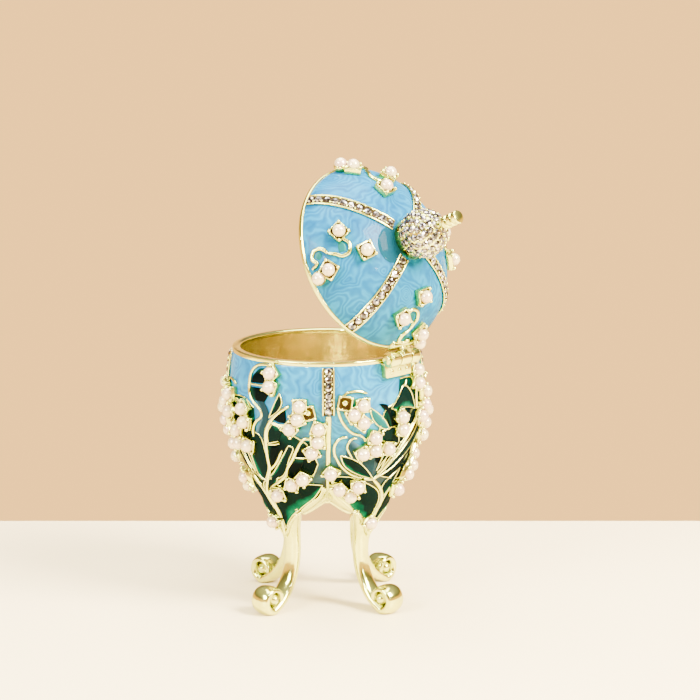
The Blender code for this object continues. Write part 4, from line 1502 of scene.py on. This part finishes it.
class EGG_OT_hinge(bpy.types.Operator):
    """Knuckles, leaves and pin of the hinge"""
    bl_idname = "egg.hinge"
    bl_label = "Hinge"

    def execute(self, context):
        egg = read_cached()
        gold = [finishes().gold]
        half = egg.barrel_length / 2
        r = egg.rim_radius
        knuckles = [barrel_piece("knuckle_left", 1.8, half, egg.barrel_radius),
                    barrel_piece("knuckle_right", -half, -1.8, egg.barrel_radius)]
        leaf = plate_piece("bowl_leaf", half - 0.25, r - 0.5, r + 1.7, -4.2, -1.1, 0.3)
        rivets = []
        for x in (-2.4, 0.0, 2.4):
            rivet = start_ball("rivet", 0.6, 20, 10)
            spot = move(x, egg.axis_y + r + 1.65, egg.rim_height - 2.9)
            rivet.data.transform(spot @ stretch(1.0, 0.6, 1.0))
            rivets.append(rivet)
        finish_piece(joined("hinge_on_bowl", [leaf, *rivets, *knuckles]), gold, "egg", 50.0)
        knuckle = barrel_piece("knuckle_lid", -1.5, 1.5, egg.barrel_radius)
        bracket = plate_piece("lid_bracket", 1.3, r - 0.5, egg.hinge_y, 0.6, 2.2, 0.2)
        leaf = plate_piece("lid_leaf", half - 0.3, r - 1.6, r + 0.3, 0.35, 2.6, 0.3)
        finish_piece(joined("hinge_on_lid", [leaf, bracket, knuckle]), gold, "lid", 50.0)
        shank = barrel_piece("pin_shank", -half - 0.5, half + 0.5, 0.6, 0.05)
        heads = [barrel_piece("pin_head_a", half + 0.3, half + 0.8, 1.0, 0.16),
                 barrel_piece("pin_head_b", -half - 0.8, -half - 0.3, 1.0, 0.16)]
        pin = joined("pin", [shank, *heads])
        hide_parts("hinge_pin")
        finish_piece(pin, gold, "egg", 50.0)
        return {"FINISHED"}


# Stage

class EGG_OT_stage(bpy.types.Operator):
    """Pale table, soft lights, warm surroundings and the camera"""
    bl_idname = "egg.stage"
    bl_label = "Stage"

    def execute(self, context):
        colours = context.scene.egg_colours
        azimuth, elevation = math.radians(CAMERA_AZIMUTH), math.radians(CAMERA_ELEVATION)
        right = Vector((math.cos(azimuth), math.sin(azimuth), 0.0))
        back = Vector((math.sin(azimuth) * math.cos(elevation), -math.cos(azimuth) * math.cos(elevation),
                       math.sin(elevation)))
        up = Vector((0.0, 0.0, 1.0))
        axis = Vector((0.0, AXIS_Y * MM, 0.0))
        target = axis + up * CAMERA_AIM + right * CAMERA_SHIFT
        camera = bpy.data.objects.new("camera", bpy.data.cameras.new("camera"))
        camera.data.lens = CAMERA_LENS
        camera.data.clip_start = 0.01
        facing = Matrix((right, back.cross(right), back)).transposed().to_4x4()
        camera.matrix_world = Matrix.Translation(target + back * CAMERA_DISTANCE) @ facing
        context.scene.collection.objects.link(camera)
        context.scene.camera = camera

        away = Vector((-back.x, -back.y, 0.0)).normalized()
        table = start_piece("table", bpy.ops.mesh.primitive_cube_add, size=1.0)
        extent = Vector(TABLE_SIZE)
        turn = Matrix((away.cross(up), away, up)).transposed().to_4x4()
        middle = axis + away * (TABLE_EDGE - extent.y / 2) - up * (extent.z / 2)
        table.data.transform(Matrix.Translation(middle) @ turn @ stretch(*extent))
        ease_edges(table, 3.0, 4)
        material, tree, shader = new_finish("lacquered table top")
        cloud = noise(tree, in_space(tree), 6.0, 2.0)["Fac"]
        paler = tuple(part * 0.97 for part in colours.table)
        fill_inputs(tree, shader, {
            "Base Color": ramped(tree, cloud, (0.3, paler), (0.7, tuple(colours.table))), "Roughness": 0.42})
        table.data.materials.append(material)
        shade(table, 50.0)

        world = bpy.data.worlds.new("warm surroundings")
        context.scene.world = world
        world.use_nodes = True
        tree = world.node_tree
        aim = add_node(tree, "ShaderNodeTexCoord").outputs["Generated"]
        height = add_node(tree, "ShaderNodeSeparateXYZ", {"Vector": aim}).outputs["Z"]
        tone = ramped(tree, height, (0.16, tuple(colours.backdrop)), *SKY_TONES)
        fill_inputs(tree, tree.nodes["Background"], {"Color": tone, "Strength": SKY_STRENGTH})

        centre = axis + up * LAMP_AIM
        for name, (side, near, high), (width, tall), watts, code in LAMPS:
            light = bpy.data.lights.new(name, "AREA")
            light.shape = "RECTANGLE"
            light.size, light.size_y = width, tall
            light.energy = watts
            light.color = hex_colour(code)
            lamp = bpy.data.objects.new(name, light)
            place = centre + right * side + back * near + up * high
            aimed = (place - centre).to_track_quat("Z", "Y").to_matrix().to_4x4()
            lamp.matrix_world = Matrix.Translation(place) @ aimed
            context.scene.collection.objects.link(lamp)
        return {"FINISHED"}


class EGG_PT_panel(bpy.types.Panel):
    """Sizes, colours and building steps"""
    bl_idname = "EGG_PT_panel"
    bl_label = "Egg box"
    bl_space_type = "VIEW_3D"
    bl_region_type = "UI"
    bl_category = "Egg box"

    def draw(self, context):
        column = self.layout.column()
        for group in (context.scene.egg_shape, context.scene.egg_colours):
            for name in group.bl_rna.properties.keys():
                if name not in ("rna_type", "name"):
                    column.prop(group, name)
        for step in STEPS:
            column.operator(step.bl_idname)


STEPS = (EGG_OT_stage, EGG_OT_legs, EGG_OT_bowl, EGG_OT_rims, EGG_OT_sprays, EGG_OT_bowl_pearls, EGG_OT_lid,
         EGG_OT_lid_ornament, EGG_OT_stones, EGG_OT_crown, EGG_OT_hinge)
CLASSES = (EggShape, EggColours, *STEPS, EGG_PT_panel)


def register():
    for item in CLASSES:
        bpy.utils.register_class(item)
    bpy.types.Scene.egg_shape = PointerProperty(type=EggShape)
    bpy.types.Scene.egg_colours = PointerProperty(type=EggColours)


def unregister():
    del bpy.types.Scene.egg_shape
    del bpy.types.Scene.egg_colours
    for item in reversed(CLASSES):
        bpy.utils.unregister_class(item)


def main():
    register()
    for step in STEPS:
        group, name = step.bl_idname.split(".")
        getattr(getattr(bpy.ops, group), name)()


if __name__ == "__main__":
    main()
